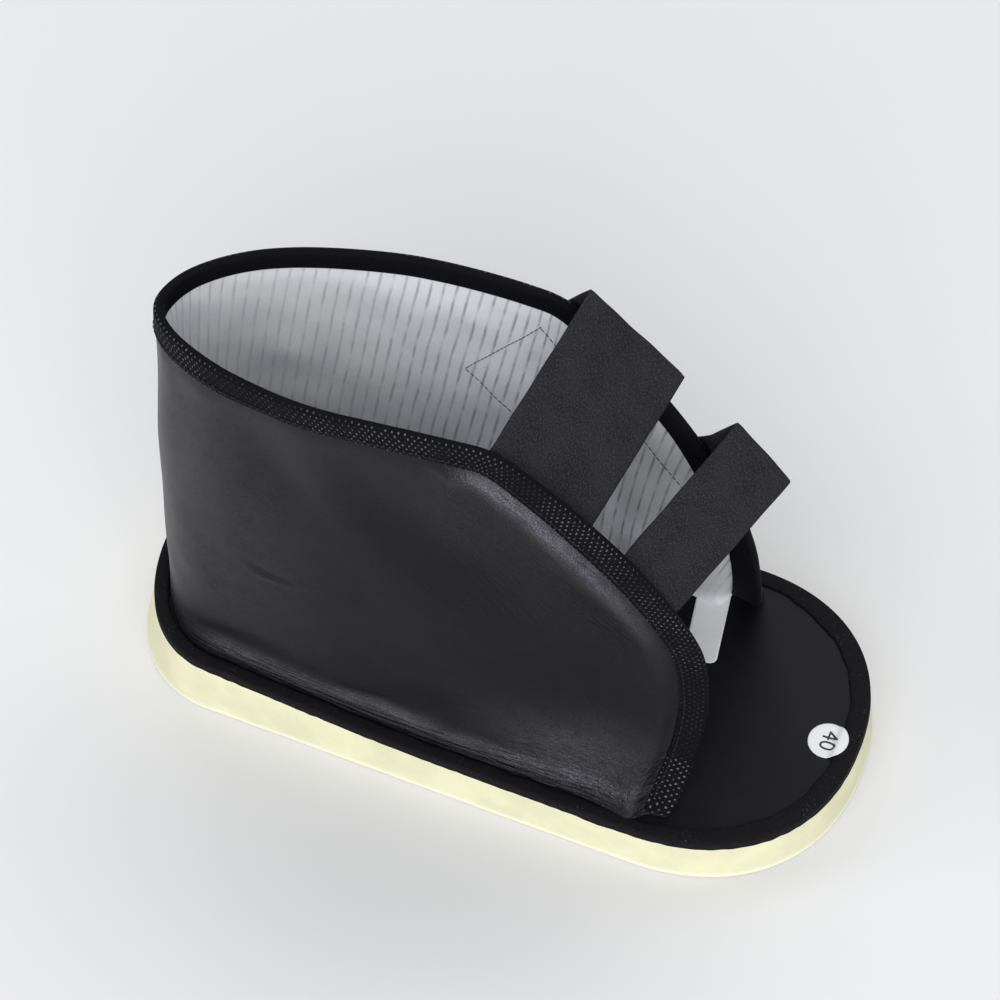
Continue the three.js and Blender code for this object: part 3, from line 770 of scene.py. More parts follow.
def leather_relief(way, z):
    """Small shape of the leather on top of the wall: slow waves, folds and a fullness round the heel,
    creases, a roll beside the near binding, and a tuck that flares along the foot seam."""
    x = x_at(way)
    h = z - foot_z(x)
    past = rim_distance(way, z) - BINDING["outer_lip"]
    near = way < 0
    calm = np.where(near, 1, 1 - CALM["share"] * smoothstep(x, CALM["from"], CALM["full"]))
    folds = bell(way, FOLDS["reach"]) * upright_waves(way, z, FOLDS)
    creases = np.where(near, crease_depth(x, z), 0)
    full = bell(way - HEEL_FULL["way"], HEEL_FULL["round"]) * bell(h - HEEL_FULL["height"], HEEL_FULL["up"])
    form = calm * (noise_sum(way, z, LEATHER_NOISE) + folds) + creases + HEEL_FULL["high"] * full
    fade = smoothstep(h, 0, RELIEF["seam"]) * smoothstep(past, RELIEF["rim_from"], RELIEF["rim_full"])
    starts = smoothstep(x, ROLL["from"] - ROLL["fade"], ROLL["from"])
    ends = 1 - smoothstep(x, ROLL["to"], ROLL["to"] + ROLL["fade"])
    falls = bell(np.maximum(past - ROLL["rise"], 0), ROLL["fall"])
    roll = near * ROLL["high"] * starts * ends * smoothstep(past, ROLL["under"], ROLL["rise"]) * falls
    tuck = TUCK["high"] * np.exp(-h / TUCK["fall"]) * (1 - smoothstep(x, TUCK["fade_from"], TUCK["fade_to"]))
    return np.maximum(form * fade + roll + tuck, RELIEF["low"])


def leather_polish_and_painted_sheen(way, z):
    """How much the leather is polished, from 0 to 1, which adds gloss and paints the colour lighter as a
    painted
    highlight: a band beside the binding along the roll, one along the foot seam, a bell low at the front, and
    a slow rise towards the heel."""
    p = POLISH_AND_SHEEN
    x = x_at(way)
    h = z - foot_z(x)
    past = rim_distance(way, z) - BINDING["outer_lip"]
    starts = smoothstep(x, ROLL["from"] - ROLL["fade"], ROLL["from"] + ROLL["fade"])
    ends = 1 - smoothstep(x, ROLL["to"] - ROLL["fade"], ROLL["to"] + ROLL["fade"])
    roll = starts * ends * bell(past - p["roll_middle"], p["roll_half"])
    seam = bell(h - p["seam_height"], p["seam_half"]) * smoothstep(x, p["seam_from"], p["seam_full"])
    front = bell(x - p["front_x"], p["front_half"]) * bell(h - p["front_height"], p["front_up"])
    heel = smoothstep(-x, p["heel_from"], p["heel_to"]) * smoothstep(h, p["heel_low"], p["heel_full"])
    corner = smoothstep(x, p["corner_from"], p["corner_to"])
    corner = corner * (1 - smoothstep(h, p["corner_low"], p["corner_high"]))
    low = np.maximum(seam, p["front_share"] * front) * (1 - corner)
    return np.maximum(np.where(way < 0, np.maximum(roll, low), 0), p["heel_share"] * heel)


def lining_relief(way, z):
    """Slack of the lining: upright ripples and a slow unevenness, which fade at the foot and the rim."""
    h = z - foot_z(x_at(way))
    fade = smoothstep(rim_distance(way, z), RIPPLES["rim_from"], RIPPLES["rim_full"])
    fade = fade * smoothstep(h, 0, RIPPLES["seam"])
    return (upright_waves(way, z, RIPPLES) + noise_sum(way, z, LINING_NOISE)) * fade


def lining_hem(way, z):
    """How far the lining turns in over the insole: it fades with height, and beside the binding."""
    x = x_at(way)
    ahead = smoothstep(x, LINING_HEM["from"], LINING_HEM["full"]) * (way > 0)
    clear = smoothstep(rim_distance(way, z), LINING_HEM["lip_from"], LINING_HEM["lip_to"])
    return LINING_HEM["turn_in"] * ahead * clear * np.exp(-(z - foot_z(x)) / LINING_HEM["height"])


def wall_sheet(name, grid, outer, inner, material, slot, node):
    """A sheet on the wall between two offset functions. Its UV map is length round the shoe from the near
    front, and height above the foot seam."""
    way, z = wall_places(*grid)
    half = grid[1] // 2
    round_it = distances_along(middle_point(way[:, half], z[:, half]))
    uv = joined(round_it[:, None], z - foot_z(x_at(way)))
    faces = (wall_point(way, z, offset(way, z)) for offset in (outer, inner))
    return sheet_piece(name, *faces, uv, material, slot, node)


# Rim binding shapes

def rim_path():
    """Ways, heights and inward steps of the rim, from just above the tape at one front end to the other.
    The inward step is the change of way and height that moves one unit away from the rim in the wall."""
    _, way, z = wall_columns(BINDING_STEPS)
    end_way = way_at(FOOT_X[-1])
    end_z = foot_z(FOOT_X[-1]) + TAPE["thick"] + SEAT_GAP
    way = np.concatenate([[-end_way], way, [end_way]])
    z = np.concatenate([[end_z], z, [end_z]])
    along, up = wall_slopes(way, z)
    go = np.gradient(middle_point(way, z), axis=0)
    go[0], go[-1] = up[0], -up[-1]
    inward = np.cross(unit(np.cross(up, along)), unit(go))
    aa, uu, au = (along * along).sum(-1), (up * up).sum(-1), (along * up).sum(-1)
    ia, iu = (inward * along).sum(-1), (inward * up).sum(-1)
    det = aa * uu - au * au
    d_way, d_z = (ia * uu - iu * au) / det, (iu * aa - ia * au) / det
    d_z[0] = d_z[-1] = 0
    return way, z, d_way, d_z


def binding_profile(leather, lining):
    """Section of the folded tape as (step in from the rim, offset off the middle wall): down the
    outside, round the fold and down the inside, then back along the faces that meet the wall."""
    thick, over, lip = BINDING["thick"], BINDING["over"], BINDING["outer_lip"]
    down = np.linspace(lip, 0, BINDING_SECTION["outer"])
    back = np.linspace(0, BINDING["inner_lip"], BINDING_SECTION["inner"])
    angle = np.linspace(0, np.pi, BINDING_SECTION["fold"])[1:-1]
    outer_low = leather_face(down, leather) + BINDING["gap"]
    inner_low = lining_face(back, lining) - BINDING["gap"]
    puff = thick * (1 + BINDING["puff"] * np.sin(np.pi * down / lip))
    top, low = outer_low[-1] + thick, inner_low[0] - thick
    fold_offset = (top + low) / 2 + (top - low) / 2 * np.cos(angle)
    return np.concatenate([
        joined(down, outer_low + puff),
        joined(-(over + thick) * np.sin(angle), fold_offset),
        joined(back, inner_low - thick),
        joined(back, inner_low)[::-1],
        [(-over, inner_low[0]), (-over, outer_low[-1])],
        joined(down, outer_low)[::-1],
    ])


def widened(profile, run):
    """The profile at each place of the rim, with its inner lip stretched along the far front edge."""
    step, offset = profile.T
    ahead = smoothstep(run, run[-1] - FRONT_LIP["from"], run[-1] - FRONT_LIP["full"])
    inner = (offset < 0) & (step > 0)
    return joined(step * (1 + FRONT_LIP["wider"] * ahead[:, None] * inner), offset)


def lay_profile(path, profile):
    """Points of a profile at each place of the rim path."""
    way, z, d_way, d_z = (p[:, None] for p in path)
    step, offset = profile[..., 0], profile[..., 1]
    return wall_point(way + step * d_way, z + step * d_z, offset)


# Stitches

def stitch_piece(name, line, facing, pitch, thick, material):
    """Stitches along a line of points, with a gap after each: short rounded threads, each a small lathe
    about its own line."""
    run = distances_along(line)
    at = np.arange(pitch / 2, run[-1], pitch)
    along = unit(points_along(at + pitch / 4, run, line) - points_along(at - pitch / 4, run, line))
    face = unit(points_along(at, run, facing))
    face = unit(face - along * (face * along).sum(-1, keepdims=True))
    t = np.linspace(-1, 1, STITCH["along"])[:, None]
    radius = np.sqrt(np.clip(1 - np.abs(t) ** STITCH["power"], STITCH["end"], 1)) * thick / 2
    angle = np.linspace(0, 2 * np.pi, STITCH["round"], endpoint=False)
    moves = (
        (along, t * pitch * STITCH["share"] / 2),
        (np.cross(face, along), radius * np.cos(angle)),
        (face, radius * np.sin(angle)),
    )
    points = points_along(at, run, line)[:, None, None]
    for direction, length in moves:
        points = points + direction[:, None, None] * length[..., None]
    count, rows, cols = points.shape[:3]
    tube = grid_faces(rows, cols, wrap_cols=True)
    faces = (tube + np.arange(count)[:, None, None] * rows * cols).reshape(-1, 4)
    return make_piece(name, points, faces, None, material)


# Strap shapes

def strap_rows(strap):
    """Rows of middle points across the band, from the sewn end inside the near wall, over the instep
    to the ridge, and down outside the far wall; equal steps along, with folds softened."""
    rear, front = (np.array(p) * MM for p in strap["ridge"])
    ridge = rear + (front - rear) * np.linspace(0, 1, STRAP_ACROSS + 1)[:, None]
    down = unit(np.array([front[2] - rear[2], rear[0] - front[0]]))
    reach = np.array(strap["reach"]) * MM
    tail = np.array(strap["tail"])

    def wall_row(side, shift, offset):
        """The ridge moved by a shift in x and z, and laid on one wall."""
        return wall_point(side * way_at(ridge[:, 0] + shift[0]), ridge[:, 2] + shift[1], offset)

    def between(start, end, count):
        """Rows from one row to another, without the first."""
        return [start + (end - start) * t for t in np.linspace(0, 1, count)[1:]]

    drops = np.linspace(strap["sewn"] * MM, 0, STRAP_SAMPLES["sewn"])
    sewn = [wall_row(-1, reach + down * drop, STRAP_INSIDE) for drop in drops]
    drops = np.linspace(strap["settle"], strap["length"], STRAP_SAMPLES["laid"]) * MM
    laid = [wall_row(1, tail * drop, STRAP_OUTSIDE) for drop in drops]
    bridge = between(sewn[-1], ridge, STRAP_SAMPLES["bridge"])
    fold = between(ridge, laid[0], STRAP_SAMPLES["fold"])
    return even_rows(np.stack(sewn + bridge + fold + laid[1:]))


def even_rows(rows):
    """The rows again at equal steps along the band, each point averaged with its two neighbours."""
    run = distances_along(rows[:, rows.shape[1] // 2])
    at = np.linspace(0, run[-1], int(run[-1] / STRAP_STEP) + 1)
    k = np.clip(np.searchsorted(run, at, side="right") - 1, 0, len(run) - 2)
    f = ((at - run[k]) / (run[k + 1] - run[k]))[:, None, None]
    even = rows[k] * (1 - f) + rows[k + 1] * f
    soft = even.copy()
    soft[1:-1] = (even[:-2] + even[1:-1] + even[2:]) / 3
    return soft


def band_piece(name, rows, thick, material, slot, node, wave=0.0, seed=1):
    """A band of even thickness about a grid of middle points, thinner at its rounded edges."""
    normal = grid_normals(rows)
    across = np.abs(np.linspace(-1, 1, rows.shape[1]))[:, None]
    body = normal * np.sqrt(1 - BAND["edge_loss"] * across ** BAND["edge_power"]) * thick / 2
    run = distances_along(rows[:, rows.shape[1] // 2])
    width = distances_along(rows[0])
    uv = joined(width, run[:, None])
    middle = rows + wave * soft_noise(uv[..., 0], uv[..., 1], BAND["wave"], seed)[..., None] * normal
    return sheet_piece(name, middle + body, middle - body, uv, material, slot, node)


def patch_rows(strap, first=0.0):
    """Ways and heights of a fastening patch on the far wall, along the strap's tail. A minus first share
    starts the rows behind the patch."""
    rear, front = (np.array(p) * MM for p in strap["ridge"])
    share = np.linspace(first, 1, STRAP_ACROSS + 1)
    end = strap["length"] * MM + PATCH["past"]
    drop = np.linspace(strap["patch_start"] * MM, end, PATCH["rows"])[:, None]
    x = rear[0] + (front[0] - rear[0]) * share + strap["tail"][0] * drop
    z = rear[2] + (front[2] - rear[2]) * share + strap["tail"][1] * drop
    return way_at(x), z


# Materials

class Shader:
    """A node material under construction: its tree, its Principled shader and short ways to add nodes."""

    def __init__(self, name, roughness, specular, gloss_tint=(1, 1, 1)):
        self.material = bpy.data.materials.new(name)
        self.material.use_nodes = True
        self.tree = self.material.node_tree
        self.shader = self.tree.nodes["Principled BSDF"]
        self.set(self.shader, {
            "Roughness": roughness, "Specular IOR Level": specular, "Specular Tint": (*gloss_tint, 1)})

    def set(self, node, inputs):
        """Links sockets to a node's inputs, and sets the other values."""
        for key, value in inputs.items():
            socket = node.inputs[key]
            if isinstance(value, bpy.types.NodeSocket):
                self.tree.links.new(value, socket)
            else:
                socket.default_value = value

    def add(self, kind, inputs, **settings):
        """A new node."""
        node = self.tree.nodes.new(kind)
        for key, value in settings.items():
            setattr(node, key, value)
        self.set(node, inputs)
        return node

    def math(self, operation, *values):
        """A calculation with numbers."""
        return self.add("ShaderNodeMath", dict(enumerate(values)), operation=operation).outputs[0]

    def times(self, first, second):
        """A product."""
        return self.math("MULTIPLY", first, second)

    def waves(self, value, pitch):
        """Sine waves of a pitch."""
        return self.math("SINE", self.times(value, 2 * math.pi / pitch))

    def placed(self, vector, scale=(1, 1, 1), turn=0.0):
        """Coordinates scaled and turned."""
        inputs = {"Vector": vector, "Scale": scale, "Rotation": (0, 0, turn)}
        return self.add("ShaderNodeMapping", inputs).outputs[0]

    def coords(self, kind, scale=(1, 1, 1), turn=0.0):
        """Object or UV coordinates."""
        return self.placed(self.add("ShaderNodeTexCoord", {}).outputs[kind], scale, turn)

    def axes(self, vector):
        """The outputs X, Y and Z of a vector."""
        return self.add("ShaderNodeSeparateXYZ", {"Vector": vector}).outputs

    def noise(self, vector, size, detail=3.0, roughness=0.55):
        """Cloudy noise with lumps of a size."""
        inputs = {"Vector": vector, "Scale": 1 / size, "Detail": detail, "Roughness": roughness}
        return self.add("ShaderNodeTexNoise", inputs).outputs["Fac"]

    def cells(self, vector, size, feature="DISTANCE_TO_EDGE"):
        """Distances in cells of a size."""
        inputs = {"Vector": vector, "Scale": 1 / size}
        return self.add("ShaderNodeTexVoronoi", inputs, feature=feature).outputs["Distance"]

    def ramp(self, value, low, high, to_low=0.0, to_high=1.0):
        """A smooth step from one value to another."""
        inputs = {"Value": value, "From Min": low, "From Max": high, "To Min": to_low, "To Max": to_high}
        return self.add("ShaderNodeMapRange", inputs, interpolation_type="SMOOTHSTEP").outputs[0]

    def blend(self, share, first, second):
        """A mix of two colours."""
        ends = [c if isinstance(c, bpy.types.NodeSocket) else (*c, 1) for c in (first, second)]
        node = self.add("ShaderNodeMix", {}, data_type="RGBA")
        self.set(node, {"Factor": share, 6: ends[0], 7: ends[1]})
        return node.outputs[2]

    def tones(self, share, colour, dark, light):
        """A mix of a darker and a lighter tone of one colour."""
        return self.blend(share, shade(colour, dark), shade(colour, light))

    def bump(self, height, distance, strength=1.0, below=None):
        """A normal bent by a height, on top of another one."""
        inputs = {"Height": height, "Distance": distance, "Strength": strength}
        if below is not None:
            inputs["Normal"] = below
        return self.add("ShaderNodeBump", inputs).outputs[0]

    def finish(self, **inputs):
        """The material, with these inputs of its shader linked."""
        names = {"colour": "Base Color", "roughness": "Roughness", "normal": "Normal"}
        self.set(self.shader, {names[key]: value for key, value in inputs.items()})
        return self.material


def shade(colour, factor):
    """A colour made lighter or darker."""
    return tuple(min(c * factor, 1) for c in colour)


def leather_ground(s, place, colour):
    """Colour of leatherette that changes slowly, and the noise that changes it."""
    drift = s.noise(place, size=38 * MM, detail=4)
    return s.tones(s.ramp(drift, 0.35, 0.7), colour, dark=0.8, light=1.25), drift


def leather_normal(s, place, grain, depth, below=None):
    """Bumps of leatherette: small cells with rounded tops over finer noise."""
    cells = s.ramp(s.cells(place, grain), 0, 0.32)
    normal = s.bump(cells, 0.3 * depth, 0.5, below)
    return s.bump(s.noise(place, grain * 0.45, 2), 0.16 * depth, 0.5, normal)


def insole_material(colour, grain):
    """Smooth leatherette with a fine grain and slow changes of colour and gloss."""
    s = Shader("insole_leather", roughness=0.45, specular=0.14, gloss_tint=COOL_GLOSS)
    place = s.coords("Object")
    ground, drift = leather_ground(s, place, colour)
    return s.finish(
        colour=ground,
        roughness=s.ramp(drift, 0.25, 0.8, to_low=0.4, to_high=0.53),
        normal=leather_normal(s, place, grain, depth=0.12 * MM),
    )


def upper_material(colour, grain):
    """Leatherette that shines more where it is polished, and whose colour is painted lighter there as a
    painted
    highlight, with fine wrinkles: long ones beside the foot seam, short ones low at the front, and gathers
    along the rim over the instep."""
    s = Shader("upper_leather", roughness=0.4, specular=0.16, gloss_tint=COOL_GLOSS)
    place = s.coords("Object")
    height = s.axes(s.coords("UV"))["Y"]
    forward = s.axes(place)["X"]
    polish_and_painted_sheen = s.add("ShaderNodeAttribute", {}, attribute_name="polish_and_painted_sheen").outputs["Fac"]
    seam = s.ramp(height, 2 * MM, 11 * MM, to_low=1, to_high=0)
    front = s.times(s.ramp(height, 12 * MM, 32 * MM, to_low=1, to_high=0), s.ramp(forward, 0, 26 * MM))
    slack = s.times(s.ramp(height, 60 * MM, 80 * MM), s.ramp(forward, -6 * MM, 8 * MM))
    # Wrinkles: coordinates stretched along them, size, roughness, where they are, depth, strength
    wrinkles = (
        (s.coords("UV", (0.09, 1, 1)), 1.2 * MM, 0.55, seam, 1.3 * MM, 0.9),
        (s.coords("UV", (0.6, 1, 1)), 1.6 * MM, 0.5, front, 0.6 * MM, 0.8),
        (s.placed(s.coords("UV", turn=RIM_LEAN), (0.18, 1, 1)), 1.9 * MM, 0.5, slack, 0.8 * MM, 0.8),
    )
    normal = None
    for stretched, size, roughness, where, depth, strength in wrinkles:
        height = s.times(s.noise(stretched, size, roughness=roughness), where)
        normal = s.bump(height, depth, strength, normal)
    normal = leather_normal(s, place, grain, 0.25 * MM, normal)
    # Polished places: the gloss rises, and the colour is painted lighter as a painted highlight, broken up by
    # the grain tops and soft patches
    grain_tops = s.ramp(s.cells(place, grain), 0.02, 0.3, to_low=0.55)
    sheen_patches = s.ramp(s.noise(place, size=5 * MM), 0.3, 0.65, to_low=0.72)
    painted_sheen_and_gloss = s.times(polish_and_painted_sheen, s.times(grain_tops, sheen_patches))
    s.set(s.shader, {"Specular IOR Level": s.math("MULTIPLY_ADD", painted_sheen_and_gloss, 0.95, 0.17)})
    ground, _ = leather_ground(s, place, colour)
    return s.finish(
        colour=s.blend(s.ramp(painted_sheen_and_gloss, 0.25, 1), ground, shade(colour, 5)),
        roughness=s.ramp(polish_and_painted_sheen, 0, 1, to_low=0.42, to_high=0.32),
        normal=normal,
    )


def foam_material(colour, rim):
    """Cream foam: closed pores, a mottled tint, and a paler cut edge near the floor."""
    s = Shader("foam", roughness=0.75, specular=0.25)
    place = s.coords("Object")
    mottle = s.noise(place, size=16 * MM, detail=5)
    pores = s.ramp(s.cells(place, 0.9 * MM, "F1"), 0.1, 0.6)
    streak = s.noise(s.coords("Object", (1, 1, 0.15)), size=3.2 * MM)
    low = s.ramp(s.axes(place)["Z"], 0.5 * MM, 3.5 * MM, to_low=1, to_high=0)
    tint = s.tones(s.ramp(mottle, 0.3, 0.7), colour, dark=0.93, light=1.04)
    return s.finish(
        colour=s.blend(low, tint, rim),
        roughness=s.ramp(mottle, 0.2, 0.8, to_low=0.68, to_high=0.86),
        normal=s.bump(streak, 0.25 * MM, 0.35, s.bump(pores, 0.10 * MM, 0.4)),
    )


def weave_material(colour, thread, pitch, face):
    """Woven tape: a lattice of raised threads in staggered rows, with painted glints that come and go on its
    face:
    the thread colour painted on the knobs as a painted highlight.
    """
    s = Shader("binding_weave", roughness=0.75, specular=0.06, gloss_tint=COOL_GLOSS)
    place = s.coords("UV")
    along, across, _ = s.axes(place)
    wobble = s.times(s.math("SUBTRACT", s.noise(place, size=4.5 * MM, detail=2), 0.5), 3.0)
    u, v = (
        s.math("COSINE", s.math("ADD", s.times(axis, 2 * math.pi / step), wobble))
        for axis, step in ((along, pitch), (across, pitch * 1.4)))
    lattice = s.times(u, v)
    # Painted highlight: knobs on the outer face get the thread colour as painted glints, in patches, strong
    # at the near front end and faint just above it
    outside = s.ramp(across, face + 1 * MM, face + 2.5 * MM, to_low=1, to_high=0)
    knob = s.times(s.ramp(lattice, 0.5, 0.95), outside)
    patchy = s.ramp(s.noise(place, size=26 * MM), 0.38, 0.6, to_low=0.15)
    each = s.ramp(s.noise(place, pitch * 0.7, detail=1), 0.3, 0.55)
    end = s.ramp(along, 20 * MM, 22 * MM, to_low=1, to_high=0)
    shown = s.times(patchy, s.ramp(along, 45 * MM, 75 * MM, to_low=0.2))
    painted_glint = s.times(s.times(knob, s.math("MAXIMUM", shown, end)), each)
    fuzz = s.noise(place, size=0.35 * MM, detail=2)
    ground = s.tones(fuzz, colour, dark=0.6, light=1.7)
    normal = s.bump(fuzz, 0.12 * MM, 0.4, s.bump(lattice, 0.12 * MM, 0.35))
    return s.finish(colour=s.blend(painted_glint, ground, thread), normal=normal)


def tape_material(colour, thread):
    """Pressed-fibre edge tape: matte, matted fibres along it, and a few light flecks."""
    s = Shader("edge_tape", roughness=0.85, specular=0.12)
    place = s.coords("UV")
    fibres = s.noise(s.coords("UV", (0.45, 1, 1)), size=0.8 * MM, detail=4, roughness=0.65)
    patchy = s.ramp(s.noise(place, size=9 * MM), 0.45, 0.7)
    fleck = s.times(s.ramp(s.noise(place, size=0.9 * MM, detail=2), 0.6, 0.72), patchy)
    ground = s.tones(fibres, colour, dark=0.5, light=2.0)
    return s.finish(
        colour=s.blend(fleck, ground, shade(thread, 0.5)), normal=s.bump(fibres, 0.25 * MM, 0.5))


def lining_material(colour, stripe, pitch):
    """Pale cloth on a fine plain weave, with thin upright stripes that are ragged, broken along their length
    and fainter at the heel and low at the front; painted shade darkens it high at the front, where the
    straps shade it."""
    s = Shader("lining", roughness=0.9, specular=0.2)
    place = s.coords("UV")
    along, height, _ = s.axes(place)
    forward = s.axes(s.coords("Object"))["X"]
    sway = s.math("SUBTRACT", s.noise(s.coords("UV", (0.5, 1, 1)), size=24 * MM, detail=2), 0.5)
    upright = s.math("SUBTRACT", along, s.times(height, STRIPE_LEAN))
    turns = s.math("DIVIDE", s.math("ADD", upright, s.times(sway, 1.2 * MM)), pitch)
    off = s.math("ABSOLUTE", s.math("SUBTRACT", s.math("FRACT", turns), 0.5))
    edge = s.math("SUBTRACT", s.noise(place, size=0.9 * MM, detail=2), 0.5)
    line = s.ramp(s.math("MULTIPLY_ADD", edge, 0.07, off), 0.02, 0.18, to_low=1, to_high=0)
    dashes = {"X": s.math("FLOOR", turns), "Y": s.math("DIVIDE", height, 13 * MM)}
    broken = s.add("ShaderNodeCombineXYZ", dashes).outputs[0]
    dash = s.ramp(s.noise(broken, size=1, detail=2, roughness=0.5), 0.34, 0.62, to_low=0.2)
    low = s.ramp(height, 25 * MM, 40 * MM, to_low=1, to_high=0)
    low_front = s.ramp(s.times(s.ramp(forward, 35 * MM, 50 * MM), low), 0, 1, to_low=1, to_high=0.2)
    faint = s.times(low_front, s.ramp(forward, -95 * MM, -5 * MM, to_low=0.45))
    mark = s.times(s.times(line, dash), faint)
    # Painted shade of the straps: cloth and stripes are darkened high at the front
    painted_strap_shade = s.times(s.ramp(forward, 18 * MM, 36 * MM), s.ramp(height, 30 * MM, 60 * MM))
    cloud = s.noise(place, size=21 * MM, detail=4)
    warm = (colour[0], colour[1] * 0.975, colour[2] * 0.915)
    cast = s.math("ADD", s.ramp(forward, -85 * MM, -15 * MM), s.math("MULTIPLY_ADD", cloud, 1.2, -0.6))
    tinted = s.blend(s.ramp(cast, 0, 1), warm, tuple(colour))
    cloth = s.blend(s.ramp(cloud, 0.3, 0.7), shade(colour, 0.88), tinted)
    # Darker tones of the cloth and stripes for the painted shade
    dull, dull_stripe = (shade(c, 0.62) for c in (colour, stripe))
    threads = s.math("ADD", s.waves(along, 0.62 * MM), s.waves(height, 0.7 * MM))
    normal = s.bump(s.noise(place, size=3 * MM), 0.25 * MM, 0.3, s.bump(threads, 0.05 * MM, 0.35))
    ground, lines = s.blend(painted_strap_shade, cloth, dull), s.blend(painted_strap_shade, stripe, dull_stripe)
    return s.finish(colour=s.blend(mark, ground, lines), normal=normal)


def elastic_material(colour):
    """Woven elastic: narrow ribs along the band crossed by fine slanting flecks."""
    s = Shader("elastic", roughness=0.75, specular=0.12, gloss_tint=COOL_GLOSS)
    place = s.coords("UV")
    ribs = s.waves(s.axes(place)["X"], 0.9 * MM)
    slant = s.coords("UV", (1, 0.5, 1), turn=0.55)
    flecks = s.ramp(s.noise(slant, size=0.45 * MM, detail=2), 0.46, 0.7)
    cloud = s.noise(place, size=12 * MM)
    ground = s.tones(s.ramp(cloud, 0.3, 0.7), colour, dark=0.8, light=1.2)
    return s.finish(
        colour=s.blend(flecks, ground, shade(colour, 2.6)),
        normal=s.bump(flecks, 0.15 * MM, 0.5, s.bump(ribs, 0.06 * MM, 0.4)),
    )


def pile_material(colour):
    """Fastening pile: tangled loops as noisy tufts, with lighter tips."""
    s = Shader("loop_pile", roughness=0.95, specular=0.1)
    place = s.coords("Object")
    tufts = s.cells(place, 0.8 * MM, "F1")
    loops = s.noise(place, size=0.5 * MM, detail=4, roughness=0.7)
    return s.finish(
        colour=s.tones(loops, colour, dark=0.5, light=3.0),
        normal=s.bump(loops, 0.3 * MM, 0.6, s.bump(tufts, 0.35 * MM, 0.6)),
    )


def thread_material(name, colour, gloss=0.4):
    """Twisted sewing thread."""
    s = Shader(name, roughness=0.55, specular=gloss)
    twist = s.noise(s.coords("Object"), size=0.5 * MM, detail=2)
    return s.finish(colour=s.tones(twist, colour, dark=0.6, light=1.3), normal=s.bump(twist, 0.1 * MM, 0.5))


def white_material(name, colour, weave):
    """Satin tape or matte paper: a fine thread or fibre pattern and a faint tint."""
    s = Shader(name, roughness=0.5, specular=0.4)
    fibre = s.noise(s.coords("Object", (1, 0.3, 1)), weave)
    cloud = s.noise(s.coords("Object"), size=6 * MM)
    return s.finish(
        colour=s.tones(cloud, colour, dark=0.94, light=1.04), normal=s.bump(fibre, 0.05 * MM, 0.3))


def floor_material(colour):
    """Pale paper with faint clouds."""
    s = Shader("floor_paper", roughness=0.7, specular=0.2)
    cloud = s.noise(s.coords("Object"), FLOOR["cloud"])
    return s.finish(colour=s.tones(cloud, colour, dark=0.97, light=1.03))


# Operators

class ShoeOperator:
    """What the shoe's operators share: settings of the scene."""

    bl_options = {"REGISTER", "UNDO"}

    @staticmethod
    def settings():
        """Sizes and colours."""
        scene = bpy.context.scene
        return scene.cast_shoe_sizes, scene.cast_shoe_colours


class CASTSHOE_OT_sole(ShoeOperator, bpy.types.Operator):
    """Foam sole: a wedge whose side leans out to the floor, most of all behind the heel"""

    bl_idname = "castshoe.sole"
    bl_label = "Foam sole"

    def execute(self, context):
        _, colours = self.settings()
        grow, kick = SOLE["footprint_grow"], SOLE["heel_kick"]
        piece = slab_piece(
            "foam_sole", lambda t: (-grow * (1 - t), kick * (1 - t)), np.zeros_like, sole_top,
            SOLE["edge"], SOLE_ACROSS, foam_material(colours.foam, colours.rim), "sole")
        return {"FINISHED"}


class CASTSHOE_OT_insole(ShoeOperator, bpy.types.Operator):
    """Insole: a thin covered board that follows the sole's top, slightly uneven"""

    bl_idname = "castshoe.insole"
    bl_label = "Insole"

    def execute(self, context):
        sizes, colours = self.settings()
        slab_piece(
            "insole_board", lambda t: (INSOLE["inset"], 0.0), lambda x: sole_top(x) + SEAT_GAP, insole_top,
            INSOLE["edge"], INSOLE_ACROSS, insole_material(colours.insole, sizes.grain * INSOLE["grain"]),
            "insole", INSOLE_NOISE)
        return {"FINISHED"}


class CASTSHOE_OT_sole_tape(ShoeOperator, bpy.types.Operator):
    """Edge tape: a soft folded strip round the insole, with an uneven inner edge that is wider at the toe,
    and a ragged hem on the foam with one lower place"""

    bl_idname = "castshoe.sole_tape"
    bl_label = "Edge tape"

    def execute(self, context):
        _, colours = self.settings()
        profile = tape_profile()
        line = outline_loop(0, 0)
        run = distances_along(line)
        still = np.zeros(len(line))
        loops = np.stack([outline_loop(inset, lift) for inset, lift in profile], axis=1)
        toward = unit(outline_loop(TAPE["lip"], 0) - line)
        wider = (TAPE["toe_lip"] - TAPE["lip"]) * smoothstep(line[:, 0], TAPE["toe_from"], TAPE["toe_full"])
        stray = (noise_sum(run, still, TAPE_NOISE) + wider)[:, None]
        free = smoothstep(profile[:, 0] / TAPE["lip"], TAPE["free_from"], 1.0)
        loops = loops + toward[:, None] * (stray * free)[..., None]
        low_place = bell(line[:, 0] - HEM["low_x"], HEM["low_half"]) * (line[:, 1] < 0)
        loops[:, HEM_ROW, 2] -= HEM["drop"] + noise_sum(run, still, HEM_NOISE) + HEM["low"] * low_place
        uv = joined(run[:, None], distances_along(profile))
        faces = grid_faces(*loops.shape[:2], wrap_rows=True, wrap_cols=True)
        material = tape_material(colours.tape, colours.thread)
        make_piece("edge_tape", loops, faces, uv, material, "sole_tape")
        return {"FINISHED"}


